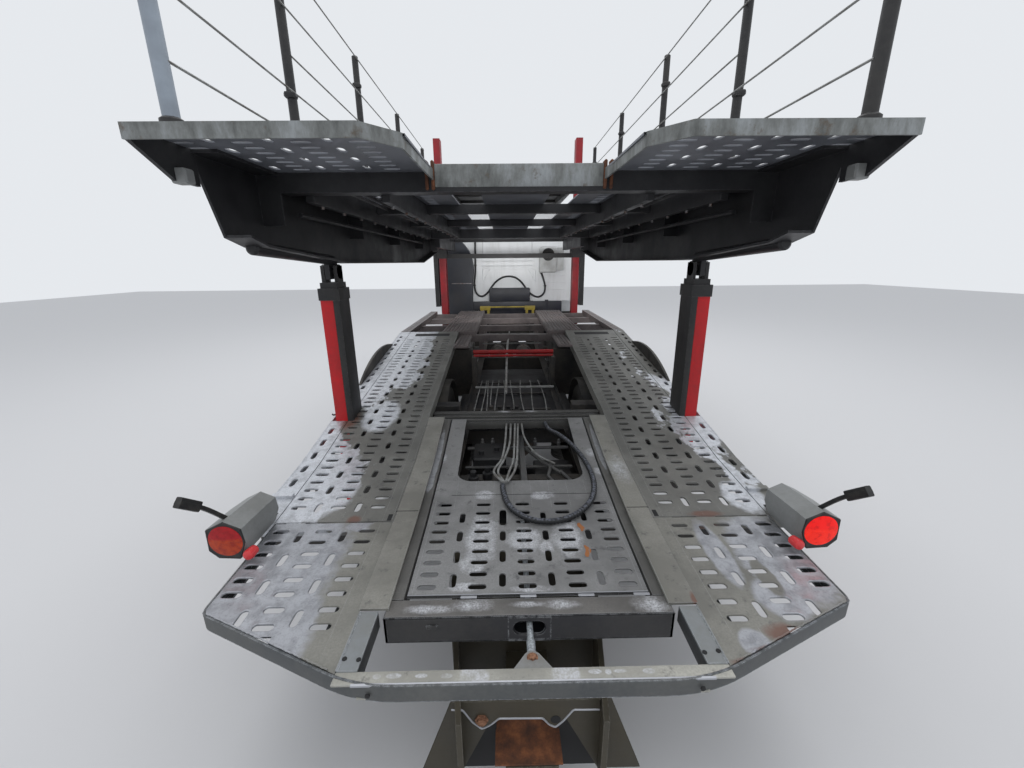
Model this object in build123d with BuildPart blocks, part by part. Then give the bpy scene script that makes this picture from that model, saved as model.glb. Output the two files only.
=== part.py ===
from build123d import *
import math
import os

# Car transporter truck. Millimetres, +Z up, +Y towards the cab, +X to the right.
# The origin is on the ground, under the middle of the whole truck.
# A station is a distance forward of the rearmost edge of the tail.

# Whole truck
overall_length = 9400
running_gap = 0.3
guide_gap = 0.5

# Wheels and axles
tyre_radius = 475
tyre_half_width = 150
rim_radius = 286
rim_half_width = 126
bead_half_width = 112
wheel_axis_height = tyre_radius
front_axle_station = 7560
rear_axle_station = 2770
front_wheel_offset = 1040
twin_outer_offset = 1085
twin_spacing = 345
spindle_radius = 40
spindle_clearance = 0.05
kingpin_offset = 860
kingpin_radius = 22
wheel_sides = 24

# Chassis rails
rail_outer = 430
rail_flange = 75
rail_thickness = 10
rail_top = 850
rail_depth = 250
rail_rear_station = 1250
rail_front_station = 8760

# Lower deck
track_inner = 610
track_outer = 1160
edge_strip = 115
half_width = track_outer + edge_strip
plate_thickness = 8
track_flange = 70
tail_join_station = 780
tail_join_height = 888
tail_rear_height = 862
track_front_station = 3866
track_front_height = 1290
deck_bends = [  # station, height
    (tail_join_station, tail_join_height),
    (1300, 935),
    (1906, 1037),
    (track_front_station, track_front_height),
]
cover_inner = 539
cover_outer = 609
centre_half_width = 456
crossbeam_station = 250
crossbeam_half_width = 512
column_station = 6166

# Rear telescopes
post_station = 1866
post_inner = track_outer - 40
post_width = 120
post_length = 180
post_wall = 8
post_bottom = 400
post_top = 1900
post_slack = 1
telescope_bottom = 500
telescope_top = 1935
lug_pin_height = 2000
lug_pin_radius = 25

# Front masts and lift carriage
mast_inner = 1020
mast_width = 100
mast_length = 180
mast_foot = 860
pivot_height = 2300
pivot_radius = 25
sleeve_wall = 25
sleeve_bottom = 2110
sleeve_top = 2400

# Upper deck
upper_top = 2454
upper_half_width = post_inner + 80
upper_rear_station = 481
upper_joint_station = 4670
upper_step_station = 5980
upper_front_station = 6370
upper_neck = 950
upper_inner = 390
walkway_half_width = 210

# Cab
cab_rear_station = 6700
cab_front_station = 8980
cab_half_width = 1235
cab_floor = 1120
cab_rear_floor = 1380
cab_roof = 3050
cab_wall = 50
door_rear_station = 7720
door_front_station = cab_front_station - 200
door_gap = 8
door_thickness = 60
screen_half_width = 1060
screen_bottom = 2030
screen_top = 2780

# Head rack over the cab
rack_hinge_station = column_station + 264
rack_hinge_height = cab_roof + 110
rack_front_station = overall_length
rack_top = rack_hinge_height + 100
mast_top = rack_hinge_height + 660


def at(station):
    """The y coordinate of a station."""
    return station - overall_length / 2


def line_height(bends, station):
    """The height of a run of stations and heights at a station."""
    for (rear, low), (front, high) in zip(bends, bends[1:]):
        if station <= front:
            return low + (high - low) * (station - rear) / (front - rear)
    return bends[-1][1]


def deck_height(station):
    """The height of the lower deck's top face at a station."""
    return line_height(deck_bends, station)


def side_form(points, x_low, x_high):
    """A closed outline in the side view, given by stations and heights, carried across in x."""
    with BuildPart() as form:
        with BuildSketch(Plane.YZ.offset(x_low)):
            with BuildLine():
                Polyline(*[(at(station), height) for station, height in points], close=True)
            make_face()
        extrude(amount=x_high - x_low)
    return form.part


def plan_form(points, bottom, top):
    """A closed outline in plan, given by x and station, raised from bottom to top."""
    with BuildPart() as form:
        with BuildSketch(Plane.XY.offset(bottom)):
            with BuildLine():
                Polyline(*[(x, at(station)) for x, station in points], close=True)
            make_face()
        extrude(amount=top - bottom)
    return form.part


def front_form(points, rear, front):
    """A closed outline across the truck, given by x and height, carried from station to station."""
    with BuildPart() as form:
        with BuildSketch(Plane.XZ.offset(-at(rear))):
            with BuildLine():
                Polyline(*points, close=True)
            make_face()
        extrude(amount=rear - front)
    return form.part


def bar(x_low, x_high, rear, front, bottom, top):
    """A straight rectangular bar between two corners."""
    return plan_form([(x_low, rear), (x_high, rear), (x_high, front), (x_low, front)], bottom, top)


def ribbon(bends, depth, x_low, x_high):
    """A strip that follows a run of stations and heights, as deep as given."""
    lower = [(station, height - depth) for station, height in reversed(bends)]
    return side_form(list(bends) + lower, x_low, x_high)


def upright(x, station, radius, bottom, top):
    """A round upright."""
    with BuildPart() as form:
        with BuildSketch(Plane.XY.offset(bottom)):
            with Locations((x, at(station))):
                Circle(radius)
        extrude(amount=top - bottom)
    return form.part


def cross_round(radius, station, height, x_low, x_high):
    """A round bar along x."""
    with BuildPart() as form:
        with BuildSketch(Plane.YZ.offset(x_low)):
            with Locations((at(station), height)):
                Circle(radius)
        extrude(amount=x_high - x_low)
    return form.part


def wheel_ring(section, middle, station):
    """A many-sided ring round a wheel's axis: a closed section of x from the wheel's middle
    and radius to the flats, swept round a polygon with mitred corners."""
    half_turn = math.pi / wheel_sides
    flat = section[0][1]
    corner = flat / math.cos(half_turn)
    turns = [half_turn * (2 * index + 1) for index in range(wheel_sides)]
    top = (at(station), wheel_axis_height + flat)
    round_it = [(at(station) - corner * math.sin(turn), wheel_axis_height + corner * math.cos(turn))
                for turn in turns]
    with BuildPart() as form:
        with BuildLine(Plane.YZ.offset(middle)) as path:
            Polyline(top, *round_it, top)
        with BuildSketch(Plane.XZ.offset(-at(station))):
            with BuildLine():
                Polyline(*[(middle + x, wheel_axis_height + radius) for x, radius in section],
                         close=True)
            make_face()
        sweep(path=path.line, transition=Transition.RIGHT)
    return form.part


def wheel_bar(low, high, radius, middle, station):
    """A many-sided bar along a wheel's axis, between two distances from the wheel's middle."""
    with BuildPart() as form:
        with BuildSketch(Plane.YZ.offset(middle + low)):
            with Locations((at(station), wheel_axis_height)):
                RegularPolygon(radius, wheel_sides, major_radius=False, rotation=180 / wheel_sides)
        extrude(amount=high - low)
    return form.part


def arch(radius, thickness, sides, station, x_low, x_high):
    """The upper half of a thin many-sided guard round a wheel, carried across in x."""
    with BuildPart() as form:
        with BuildSketch(Plane.YZ.offset(x_low)):
            with Locations((at(station), wheel_axis_height)):
                RegularPolygon(radius + thickness, sides)
                RegularPolygon(radius, sides, mode=Mode.SUBTRACT)
                with Locations((0, -radius)):
                    Rectangle(4 * radius, 2 * radius, mode=Mode.SUBTRACT)
        extrude(amount=x_high - x_low)
    return form.part


def both_sides(form):
    """A form with its mirror image on the other side of the truck."""
    return [form, mirror(form, about=Plane.YZ)]


parts = {}


def keep(name, *forms):
    """Label a finished piece and file it under its node's name."""
    piece = Compound(children=list(forms)) if len(forms) > 1 else forms[0]
    piece.label = name
    parts[name] = piece


# Chassis frame: two channel rails, crossmembers, and outriggers that carry the lower deck
rail_bottom = rail_top - rail_depth
crossmember_stations = [1300, 2200, 3400, 4600, 5700, 6900, 8700]
crossmember_length = 60
crossmember_drop = 40
outrigger_stations = [1420, 2110, 3420]
outrigger_length = 80
bearer_station = tail_join_station + 60
bearer_length = 60
bearer_bottom = 700
bearer_top = 790
cab_mounts = [  # station, top
    (cab_rear_station + 80, cab_rear_floor),
    (cab_front_station - 420, cab_floor),
]
with BuildPart() as chassis_frame:
    rail_profile = [
        (rail_outer, rail_bottom),
        (rail_outer, rail_top),
        (rail_outer - rail_flange, rail_top),
        (rail_outer - rail_flange, rail_top - rail_thickness),
        (rail_outer - rail_thickness, rail_top - rail_thickness),
        (rail_outer - rail_thickness, rail_bottom + rail_thickness),
        (rail_outer - rail_flange, rail_bottom + rail_thickness),
        (rail_outer - rail_flange, rail_bottom),
    ]
    add(both_sides(front_form(rail_profile, rail_rear_station, rail_front_station)))
    for station in crossmember_stations:
        add(bar(-rail_outer + rail_thickness, rail_outer - rail_thickness, station,
                station + crossmember_length, rail_bottom + crossmember_drop,
                rail_top - crossmember_drop))
    for station in outrigger_stations:
        front = station + outrigger_length
        web = [(station, deck_height(station) - track_flange),
               (front, deck_height(front) - track_flange),
               (front, rail_bottom + crossmember_length),
               (station, rail_bottom + crossmember_length)]
        add(both_sides(side_form(web, rail_outer, half_width)))
    # Rear bearer under the slide tubes, with its ends up to the track flanges
    add(bar(-half_width, half_width, bearer_station, bearer_station + bearer_length,
            bearer_bottom, bearer_top))
    block = [(bearer_station, deck_height(bearer_station) - track_flange),
             (bearer_station + bearer_length,
              deck_height(bearer_station + bearer_length) - track_flange),
             (bearer_station + bearer_length, bearer_top),
             (bearer_station, bearer_top)]
    for x_low, x_high in [(track_inner - 10, track_inner + 20), (half_width - 60, half_width)]:
        add(both_sides(side_form(block, x_low, x_high)))
    # Rear extension of the rails back to the bearer
    add(both_sides(bar(rail_outer - rail_flange, rail_outer, bearer_station, rail_rear_station,
                       bearer_bottom, bearer_top)))
    for station, top in cab_mounts:
        add(both_sides(bar(rail_outer - 60, rail_outer, station, station + 80, rail_top, top)))
    # Mast outriggers behind the cab
    add(both_sides(bar(rail_outer, mast_inner + mast_width, column_station - mast_length / 2,
                       column_station + mast_length / 2, rail_bottom + 80, mast_foot)))
keep("chassis_frame", chassis_frame.part)

# Engine: one plain block between the rails, under the cab, with the gearbox behind it
engine_half_width = rail_outer - rail_flange
engine_rear = front_axle_station - 260
engine_bottom = 620
gearbox_half_width = 170
gearbox_rear = 6980
shaft_front_height = 560
with BuildPart() as engine_block:
    add(bar(-engine_half_width, engine_half_width, engine_rear, engine_rear + 1200,
            engine_bottom, 1100))
    gearbox = [(engine_rear, 560), (engine_rear, 1000), (engine_rear - 180, 900),
               (gearbox_rear, 720), (gearbox_rear, 480), (engine_rear - 180, 460)]
    add(side_form(gearbox, -gearbox_half_width, gearbox_half_width))
keep("engine_block", engine_block.part)

# Front axle: a dropped beam with kingpin eyes, on leaf springs
beam_height = wheel_axis_height
beam_half_depth = 40
beam_drop = 60
beam_half_length = 40
eye_radius = 48
eye_half_height = 58
eye_sides = 12
spring_offset = 390
spring_half_width = 35
spring_seat = 480
with BuildPart() as front_axle:
    top_line = [(kingpin_offset, beam_height + beam_half_depth),
                (620, beam_height + beam_half_depth),
                (520, beam_height + beam_half_depth - beam_drop)]
    low_line = [(kingpin_offset, beam_height - beam_half_depth),
                (640, beam_height - beam_half_depth),
                (540, beam_height - beam_half_depth - beam_drop)]
    outline = ([(-x, height) for x, height in top_line] + top_line[::-1]
               + low_line + [(-x, height) for x, height in low_line[::-1]])
    add(front_form(outline, front_axle_station - beam_half_length,
                   front_axle_station + beam_half_length))
    with BuildSketch(Plane.XY.offset(beam_height - eye_half_height)):
        with Locations((-kingpin_offset, at(front_axle_station)),
                       (kingpin_offset, at(front_axle_station))):
            RegularPolygon(eye_radius, eye_sides)
    extrude(amount=2 * eye_half_height)
    for form in both_sides(upright(kingpin_offset, front_axle_station,
                                   kingpin_radius + spindle_clearance,
                                   beam_height - eye_half_height, beam_height + eye_half_height)):
        add(form, mode=Mode.SUBTRACT)
    # Leaf springs, bowed down onto the beam, and their hangers under the rails
    spring = [(6860, 590), (7200, 520), (front_axle_station - 80, spring_seat),
              (front_axle_station + 80, spring_seat), (7920, 520), (8260, 590)]
    pad_top = beam_height + beam_half_depth - beam_drop
    add(both_sides(ribbon(spring, spring_seat - pad_top, spring_offset - spring_half_width,
                          spring_offset + spring_half_width)))
    for station in (6830, 8260):
        add(both_sides(bar(spring_offset - 30, spring_offset + 30, station, station + 60,
                           550, rail_bottom)))
keep("front_axle", front_axle.part)

# Rear axle: tube with its banjo housing, spindles for the twin wheels, air bellows on
# carrier arms, and the propeller shaft forward to the gearbox
axle_radius = 65
twin_mid_offset = twin_outer_offset - twin_spacing / 2
hub_inner_offset = twin_mid_offset - 130
spindle_reach = 90
banjo_sides = 12
banjo_steps = [  # rear and front ends from the axle, corner radius
    (-150, -110, 130),
    (-110, 60, 200),
    (60, 150, 150),
    (150, 250, 80),
]
bellows_offset = 425
bellows_radius = 105
bellows_reach = 360
arm_half_width = 45
arm_bottom = 370
arm_top = 430
shaft_radius = 45
flange_radius = 70
with BuildPart() as rear_axle:
    add(cross_round(axle_radius, rear_axle_station, wheel_axis_height,
                    -hub_inner_offset + 4, hub_inner_offset - 4))
    add(cross_round(spindle_radius, rear_axle_station, wheel_axis_height,
                    -twin_mid_offset - spindle_reach, twin_mid_offset + spindle_reach))
    for rear, front, radius in banjo_steps:
        with BuildSketch(Plane.XZ.offset(-at(rear_axle_station + rear))):
            with Locations((0, wheel_axis_height)):
                RegularPolygon(radius, banjo_sides)
        extrude(amount=rear - front)
    for reach in (-bellows_reach, bellows_reach):
        add(both_sides(upright(bellows_offset, rear_axle_station + reach, bellows_radius,
                               arm_top, rail_bottom)))
    add(both_sides(bar(bellows_offset - arm_half_width, bellows_offset + arm_half_width,
                       rear_axle_station - bellows_reach - 100,
                       rear_axle_station + bellows_reach + 100, arm_bottom, arm_top)))
    shaft_rear = Vector(0, at(rear_axle_station + banjo_steps[-1][1] - 20), wheel_axis_height)
    shaft_front = Vector(0, at(gearbox_rear - 10), shaft_front_height)
    with BuildSketch(Plane(origin=shaft_rear, z_dir=shaft_front - shaft_rear)):
        Circle(shaft_radius)
    extrude(amount=(shaft_front - shaft_rear).length)
    with BuildSketch(Plane.XZ.offset(-at(gearbox_rear))):
        with Locations((0, shaft_front_height)):
            RegularPolygon(flange_radius, banjo_sides)
    extrude(amount=20)
keep("rear_axle", rear_axle.part)

# Steering knuckles: fork over the axle eye, kingpin and spindle
hub_inner_face = front_wheel_offset - 90
fork_gap = 4
fork_thickness = 38
fork_low = eye_half_height + fork_gap
fork_high = fork_low + fork_thickness
fork_plan = [  # x, distance forward of the axle
    (kingpin_offset - 45, -18),
    (kingpin_offset - 18, -45),
    (kingpin_offset + 80, -45),
    (kingpin_offset + 80, 45),
    (kingpin_offset - 18, 45),
    (kingpin_offset - 45, 18),
]
with BuildPart() as knuckle_right:
    for bottom, top in [(-fork_high, -fork_low), (fork_low, fork_high)]:
        add(plan_form([(x, front_axle_station + reach) for x, reach in fork_plan],
                      beam_height + bottom, beam_height + top))
    add(upright(kingpin_offset, front_axle_station, kingpin_radius,
                beam_height - fork_high, beam_height + fork_high))
    add(bar(kingpin_offset + 54, hub_inner_face - 4, front_axle_station - 55,
            front_axle_station + 55, beam_height - fork_high, beam_height + fork_high))
    add(cross_round(spindle_radius, front_axle_station, wheel_axis_height,
                    kingpin_offset + 60, front_wheel_offset + 70))
keep("knuckle_right", knuckle_right.part)
keep("knuckle_left", mirror(knuckle_right.part, about=Plane.YZ))

# Tyres: many-sided, with shoulders and bulging walls, open for the rim
tyre_wall = [  # x from the tyre's middle, radius
    (-bead_half_width, rim_radius),
    (-bead_half_width, 304),
    (-tyre_half_width, 385),
    (-tyre_half_width + 12, 448),
    (-tyre_half_width + 32, tyre_radius),
]
tyre_section = tyre_wall + [(-x, radius) for x, radius in reversed(tyre_wall)]
front_tyre = wheel_ring(tyre_section, front_wheel_offset, front_axle_station)
keep("front_tyre_right", front_tyre)
keep("front_tyre_left", mirror(front_tyre, about=Plane.YZ))
twin_middles = [twin_mid_offset + twin_spacing / 2, twin_mid_offset - twin_spacing / 2]
twin_tyres = [wheel_ring(tyre_section, middle, rear_axle_station) for middle in twin_middles]
keep("rear_tyres_right", *twin_tyres)
keep("rear_tyres_left", *[mirror(form, about=Plane.YZ) for form in twin_tyres])

# Rims: a barrel between two lips, a disc with hand holes, and a hub bored for the spindle
bore_radius = spindle_radius + spindle_clearance
bead_radius = rim_radius - running_gap
lip_radius = 300
lip_inner = bead_half_width + running_gap
well_radius = 266
barrel_half = [  # x from the rim's middle, radius
    (rim_half_width, well_radius),
    (rim_half_width, lip_radius),
    (lip_inner, lip_radius),
    (lip_inner, bead_radius),
]
barrel_section = barrel_half + [(-x, radius) for x, radius in reversed(barrel_half)]
hand_hole_count = 8
hand_hole_circle = 212
hand_hole_radius = 30
hand_hole_sides = 6


def disc(low, high, middle, station):
    """A wheel's disc with its ring of hand holes."""
    with BuildPart() as form:
        with BuildSketch(Plane.YZ.offset(middle + low)):
            with Locations((at(station), wheel_axis_height)):
                RegularPolygon(well_radius + 6, wheel_sides, major_radius=False,
                               rotation=180 / wheel_sides)
                with PolarLocations(hand_hole_circle, hand_hole_count):
                    RegularPolygon(hand_hole_radius, hand_hole_sides, mode=Mode.SUBTRACT)
        extrude(amount=high - low)
    return form.part


front_hub = [  # x low, x high, radius
    (-90, 86, 105),
    (86, 122, 82),
]
with BuildPart() as front_rim:
    add(wheel_ring(barrel_section, front_wheel_offset, front_axle_station))
    add(disc(84, 98, front_wheel_offset, front_axle_station))
    for low, high, radius in front_hub:
        add(wheel_bar(low, high, radius, front_wheel_offset, front_axle_station))
    add(cross_round(bore_radius, front_axle_station, wheel_axis_height,
                    front_wheel_offset - 90, front_wheel_offset + 72), mode=Mode.SUBTRACT)
keep("front_rim_right", front_rim.part)
keep("front_rim_left", mirror(front_rim.part, about=Plane.YZ))

# Twin rear rims: two barrels joined by a neck, on one disc, with the axle's long hub
twin_neck = twin_spacing / 2 - rim_half_width + 12
neck_section = [(-twin_neck, well_radius), (-twin_neck, bead_radius - 4),
                (twin_neck, bead_radius - 4), (twin_neck, well_radius)]
twin_hub = [  # x low, x high, radius
    (-130, 12, 112),
    (12, 235, 98),
    (235, 250, 70),
]
with BuildPart() as rear_rims:
    for middle in twin_middles:
        add(wheel_ring(barrel_section, middle, rear_axle_station))
    add(wheel_ring(neck_section, twin_mid_offset, rear_axle_station))
    add(disc(-10, 10, twin_mid_offset, rear_axle_station))
    for low, high, radius in twin_hub:
        add(wheel_bar(low, high, radius, twin_mid_offset, rear_axle_station))
    add(cross_round(bore_radius, rear_axle_station, wheel_axis_height,
                    twin_mid_offset - 130, twin_mid_offset + spindle_reach + 5),
        mode=Mode.SUBTRACT)
keep("rear_rims_right", rear_rims.part)
keep("rear_rims_left", mirror(rear_rims.part, about=Plane.YZ))

# Lower deck wheel tracks: a plate with its flanges and the smooth outer strip, cut for the posts
with BuildPart() as deck_tracks_right:
    add(ribbon(deck_bends, plate_thickness, track_inner, half_width))
    for x_low in (track_inner, track_outer, half_width - plate_thickness):
        add(ribbon(deck_bends, track_flange, x_low, x_low + plate_thickness))
    add(bar(post_inner - post_slack, post_inner + post_width + post_slack,
            post_station - post_length / 2 - post_slack,
            post_station + post_length / 2 + post_slack,
            tail_join_height - track_flange, track_front_height), mode=Mode.SUBTRACT)
keep("deck_tracks_right", deck_tracks_right.part)
keep("deck_tracks_left", mirror(deck_tracks_right.part, about=Plane.YZ))

# Ribbed planks that carry the wheels forward of the slotted tracks, and the deck's edge rails
plank_front = 5950
plank_width = 390
plank_depth = 45
edge_rail_width = 100
sleeper_length = 80
sleeper_depth = 75
strut_stations = [4600, 5300]
with BuildPart() as deck_planks:
    add(both_sides(bar(track_inner - 200, track_inner - 200 + plank_width, track_front_station,
                       plank_front, track_front_height - plank_depth, track_front_height)))
    add(both_sides(bar(half_width - edge_rail_width, half_width, track_front_station,
                       plank_front, track_front_height - track_flange, track_front_height)))
    sleeper_top = track_front_height - plank_depth
    for station in (track_front_station, *strut_stations, plank_front - sleeper_length):
        add(bar(-half_width, half_width, station, station + sleeper_length,
                sleeper_top - sleeper_depth, sleeper_top))
    for station in strut_stations:
        add(both_sides(bar(rail_outer - 70, rail_outer, station, station + sleeper_length,
                           rail_top, sleeper_top - sleeper_depth)))
keep("deck_planks", deck_planks.part)

# Centre of the tail: side channels, black crossbeam with its oval hole, cover rails
channel_depth = 58
crossbeam_length = 80
crossbeam_bottom = 750
centre_height = tail_rear_height
centre_bends = [  # station, height
    (crossbeam_station, centre_height),
    (tail_join_station, tail_join_height - 8),
    (1300, 927),
    (2016, 1043),
]
cover_bends = [  # station, height
    (crossbeam_station + 33, tail_rear_height + 10),
    (tail_join_station, tail_join_height + 8),
    (1300, 943),
    (1900, 1046),
]
crossbar_rear = 1800
crossbar_front = 1990
crossbar_bottom = 930
crossbar_top = 1000
eye_slot_height = 806
with BuildPart() as deck_centre:
    add(both_sides(ribbon(centre_bends, channel_depth, centre_half_width,
                          crossbeam_half_width)))
    add(bar(-crossbeam_half_width, crossbeam_half_width, crossbeam_station,
            crossbeam_station + crossbeam_length, crossbeam_bottom, centre_height))
    add(both_sides(ribbon(cover_bends, 10, cover_inner - 40, cover_outer)))
    add(bar(-crossbeam_half_width - 88, crossbeam_half_width + 88, crossbar_rear, crossbar_front,
            crossbar_bottom, crossbar_top))
    with BuildSketch(Plane.XZ.offset(-at(crossbeam_station))):
        with Locations((0, eye_slot_height)):
            SlotOverall(110, 56)
    extrude(amount=-crossbeam_length, mode=Mode.SUBTRACT)
    # Hangers down to the rear bearer and rails
    add(both_sides(bar(centre_half_width + 4, crossbeam_half_width, bearer_station,
                       bearer_station + bearer_length, bearer_top,
                       line_height(centre_bends, bearer_station) - channel_depth + 10)))
    add(both_sides(bar(rail_outer - 60, crossbeam_half_width, crossbar_rear + 10,
                       crossbar_rear + 70, rail_top, crossbar_bottom + 10)))
keep("deck_centre", deck_centre.part)

# Slotted centre plate, with arms either side of the opening that runs up to the crossbar
plate_rear = crossbeam_station + 90
plate_front = 1050
plate_arm_inner = 300
plate_flange = 50
plate_bends = [
    (plate_rear, centre_height),
    (tail_join_station, tail_join_height - 8),
    (1300, 927),
    (crossbar_rear - 5, 1007),
]
slot_length = 72
slot_width = 27
slot_rows = 11
slot_pitch = 60
slot_spread = 172
with BuildPart() as centre_plate:
    add(ribbon(plate_bends, plate_thickness, -centre_half_width, centre_half_width))
    for x_low in (-centre_half_width, centre_half_width - plate_thickness):
        add(ribbon(plate_bends, plate_flange, x_low, x_low + plate_thickness))
    add(bar(-plate_arm_inner, plate_arm_inner, plate_front, crossbar_rear,
            centre_height - plate_flange, crossbar_top + 100), mode=Mode.SUBTRACT)
    with BuildSketch(Plane.XY.offset(centre_height - plate_flange)):
        with Locations((0, at((plate_rear + plate_front) / 2))):
            with GridLocations(slot_spread, slot_pitch, 5, slot_rows):
                Rectangle(slot_length, slot_width)
            with GridLocations(slot_spread, 2 * slot_pitch, 4, slot_rows // 2):
                Rectangle(slot_width, slot_length)
    extrude(amount=plate_flange + 100, mode=Mode.SUBTRACT)
keep("centre_plate", centre_plate.part)

# Masts on flared feet, and the sockets of the rear telescopes with their collars
foot_flare = 30
foot_top = mast_foot + 230
collar_width = 8
collar_bottom = post_top - 70
hinge_pin_radius = 20
with BuildPart() as lift_columns:
    add(both_sides(bar(mast_inner, mast_inner + mast_width, column_station - mast_length / 2,
                       column_station + mast_length / 2, mast_foot, mast_top)))
    foot = [(mast_inner - foot_flare, mast_foot),
            (mast_inner + mast_width + foot_flare, mast_foot),
            (mast_inner + mast_width, foot_top),
            (mast_inner, foot_top)]
    add(both_sides(front_form(foot, column_station - mast_length / 2,
                              column_station + mast_length / 2)))
    add(both_sides(bar(post_inner, post_inner + post_width, post_station - post_length / 2,
                       post_station + post_length / 2, post_bottom, post_top)))
    add(both_sides(bar(post_inner - collar_width, post_inner + post_width + collar_width,
                       post_station - post_length / 2 - collar_width,
                       post_station + post_length / 2 + collar_width, collar_bottom, post_top)))
    for form in both_sides(bar(post_inner + post_wall, post_inner + post_width - post_wall,
                               post_station - post_length / 2 + post_wall,
                               post_station + post_length / 2 - post_wall,
                               post_bottom, post_top)):
        add(form, mode=Mode.SUBTRACT)
    # Arms that carry the sockets from the rails
    add(both_sides(bar(rail_outer, post_inner, post_station - 60, post_station + 60,
                       rail_bottom + 60, rail_bottom + 160)))
    # Brackets of the head rack's hinge
    bracket = [
        (column_station + mast_length / 2, rack_hinge_height - 60),
        (rack_hinge_station, rack_hinge_height - 40),
        (rack_hinge_station + 40, rack_hinge_height),
        (rack_hinge_station, rack_hinge_height + 40),
        (column_station + mast_length / 2, rack_hinge_height + 90),
    ]
    add(both_sides(side_form(bracket, mast_inner, mast_inner + mast_width)))
    add(both_sides(cross_round(hinge_pin_radius, rack_hinge_station, rack_hinge_height,
                               mast_inner - 60, mast_inner + 10)))
keep("lift_columns", lift_columns.part)

# Rear telescopes: inner tubes with a clevis and pin at the top
tele_inner = post_inner + post_wall + guide_gap
tele_outer = post_inner + post_width - post_wall - guide_gap
tele_half_length = post_length / 2 - post_wall - guide_gap
clevis_half_length = 45
clevis_gap_low = post_inner + 30
clevis_gap_high = post_inner + post_width - 30
clevis_top = lug_pin_height + 38
with BuildPart() as telescope:
    add(bar(tele_inner, tele_outer, post_station - tele_half_length,
            post_station + tele_half_length, telescope_bottom, telescope_top))
    for x_low, x_high in [(tele_inner, clevis_gap_low), (clevis_gap_high, tele_outer)]:
        add(bar(x_low, x_high, post_station - clevis_half_length,
                post_station + clevis_half_length, telescope_top, clevis_top))
    add(cross_round(lug_pin_radius, post_station, lug_pin_height, tele_inner, tele_outer))
keep("rear_telescopes", *both_sides(telescope.part))

# Lift carriage: a sleeve on each mast, a cross tube and the deck's pivots
sleeve_inner = mast_inner - sleeve_wall - guide_gap
sleeve_outer = mast_inner + mast_width + sleeve_wall + guide_gap
sleeve_half_length = mast_length / 2 + sleeve_wall + guide_gap
cylinder_case_width = 70
cylinder_case_bottom = 1350
with BuildPart() as lift_carriage:
    add(both_sides(bar(sleeve_inner, sleeve_outer, column_station - sleeve_half_length,
                       column_station + sleeve_half_length, sleeve_bottom, sleeve_top)))
    for form in both_sides(bar(mast_inner - guide_gap, mast_inner + mast_width + guide_gap,
                               column_station - mast_length / 2 - guide_gap,
                               column_station + mast_length / 2 + guide_gap,
                               sleeve_bottom, sleeve_top)):
        add(form, mode=Mode.SUBTRACT)
    add(bar(-sleeve_inner, sleeve_inner, column_station - 45, column_station + 45,
            sleeve_bottom, sleeve_bottom + 70))
    add(both_sides(bar(sleeve_outer, sleeve_outer + cylinder_case_width, column_station - 65,
                       column_station + 65, cylinder_case_bottom, sleeve_top)))
    add(both_sides(cross_round(pivot_radius, column_station, pivot_height,
                               upper_neck - 60, sleeve_inner)))
keep("lift_carriage", lift_carriage.part)

# Upper deck frame: deep side beams, front neck beams and crossmembers
upper_under = upper_top - plate_thickness
beam_inner = upper_half_width - 110
beam_rear_station = upper_rear_station + 270
beam_low = 2050
side_beam = [  # station, height
    (beam_rear_station, upper_under),
    (872, beam_low + 103),
    (1000, beam_low + 70),
    (post_station - 9, beam_low + 5),
    (2100, beam_low),
    (4600, beam_low),
    (upper_step_station - 200, beam_low + 150),
    (upper_step_station, beam_low + 210),
    (upper_step_station, upper_under),
]
crossmembers = [  # station, length, depth
    (1166, 90, 85),
    (2300, 70, 60),
    (3400, 70, 60),
    (upper_joint_station - 70, 70, 110),
    (5000, 70, 60),
    (5800, 70, 60),
]
bulkhead_stations = [1166, 2300, 3400, 4600, 5760]
lug_low = post_inner + 45
lug_high = post_inner + 75
lug_half_length = 70
with BuildPart() as upper_deck_frame:
    add(both_sides(side_form(side_beam, upper_half_width - 10, upper_half_width)))
    lower_line = side_beam[1:-1]
    add(both_sides(ribbon([(station, height + 10) for station, height in lower_line], 10,
                          beam_inner, upper_half_width)))
    add(both_sides(bar(beam_inner, upper_half_width, beam_rear_station, upper_step_station,
                       upper_under - 12, upper_under)))
    for station in bulkhead_stations:
        add(both_sides(bar(beam_inner, upper_half_width, station, station + 10,
                           beam_low + 170, upper_under)))
    add(both_sides(bar(upper_neck - 60, upper_neck, upper_joint_station, upper_front_station,
                       pivot_height - 70, upper_under)))
    for form in both_sides(cross_round(pivot_radius + 0.05, column_station, pivot_height,
                                       upper_neck - 61, upper_neck + 1)):
        add(form, mode=Mode.SUBTRACT)
    for station, length, depth in crossmembers:
        add(bar(-beam_inner, beam_inner, station, station + length, upper_under - depth,
                upper_under))
    add(bar(-upper_neck + 60, upper_neck - 60, upper_front_station - 60, upper_front_station,
            upper_under - 80, upper_under))
    # Lugs over the rear telescopes' pins, slotted for the swing of the deck's tilt
    add(both_sides(bar(lug_low, lug_high, post_station - lug_half_length,
                       post_station + lug_half_length, lug_pin_height - 45, beam_low + 10)))
    with BuildSketch(Plane.YZ.offset(-half_width)):
        with Locations((at(post_station), lug_pin_height)):
            SlotOverall(80, 60)
    extrude(amount=2 * half_width, mode=Mode.SUBTRACT)
keep("upper_deck_frame", upper_deck_frame.part)

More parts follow.
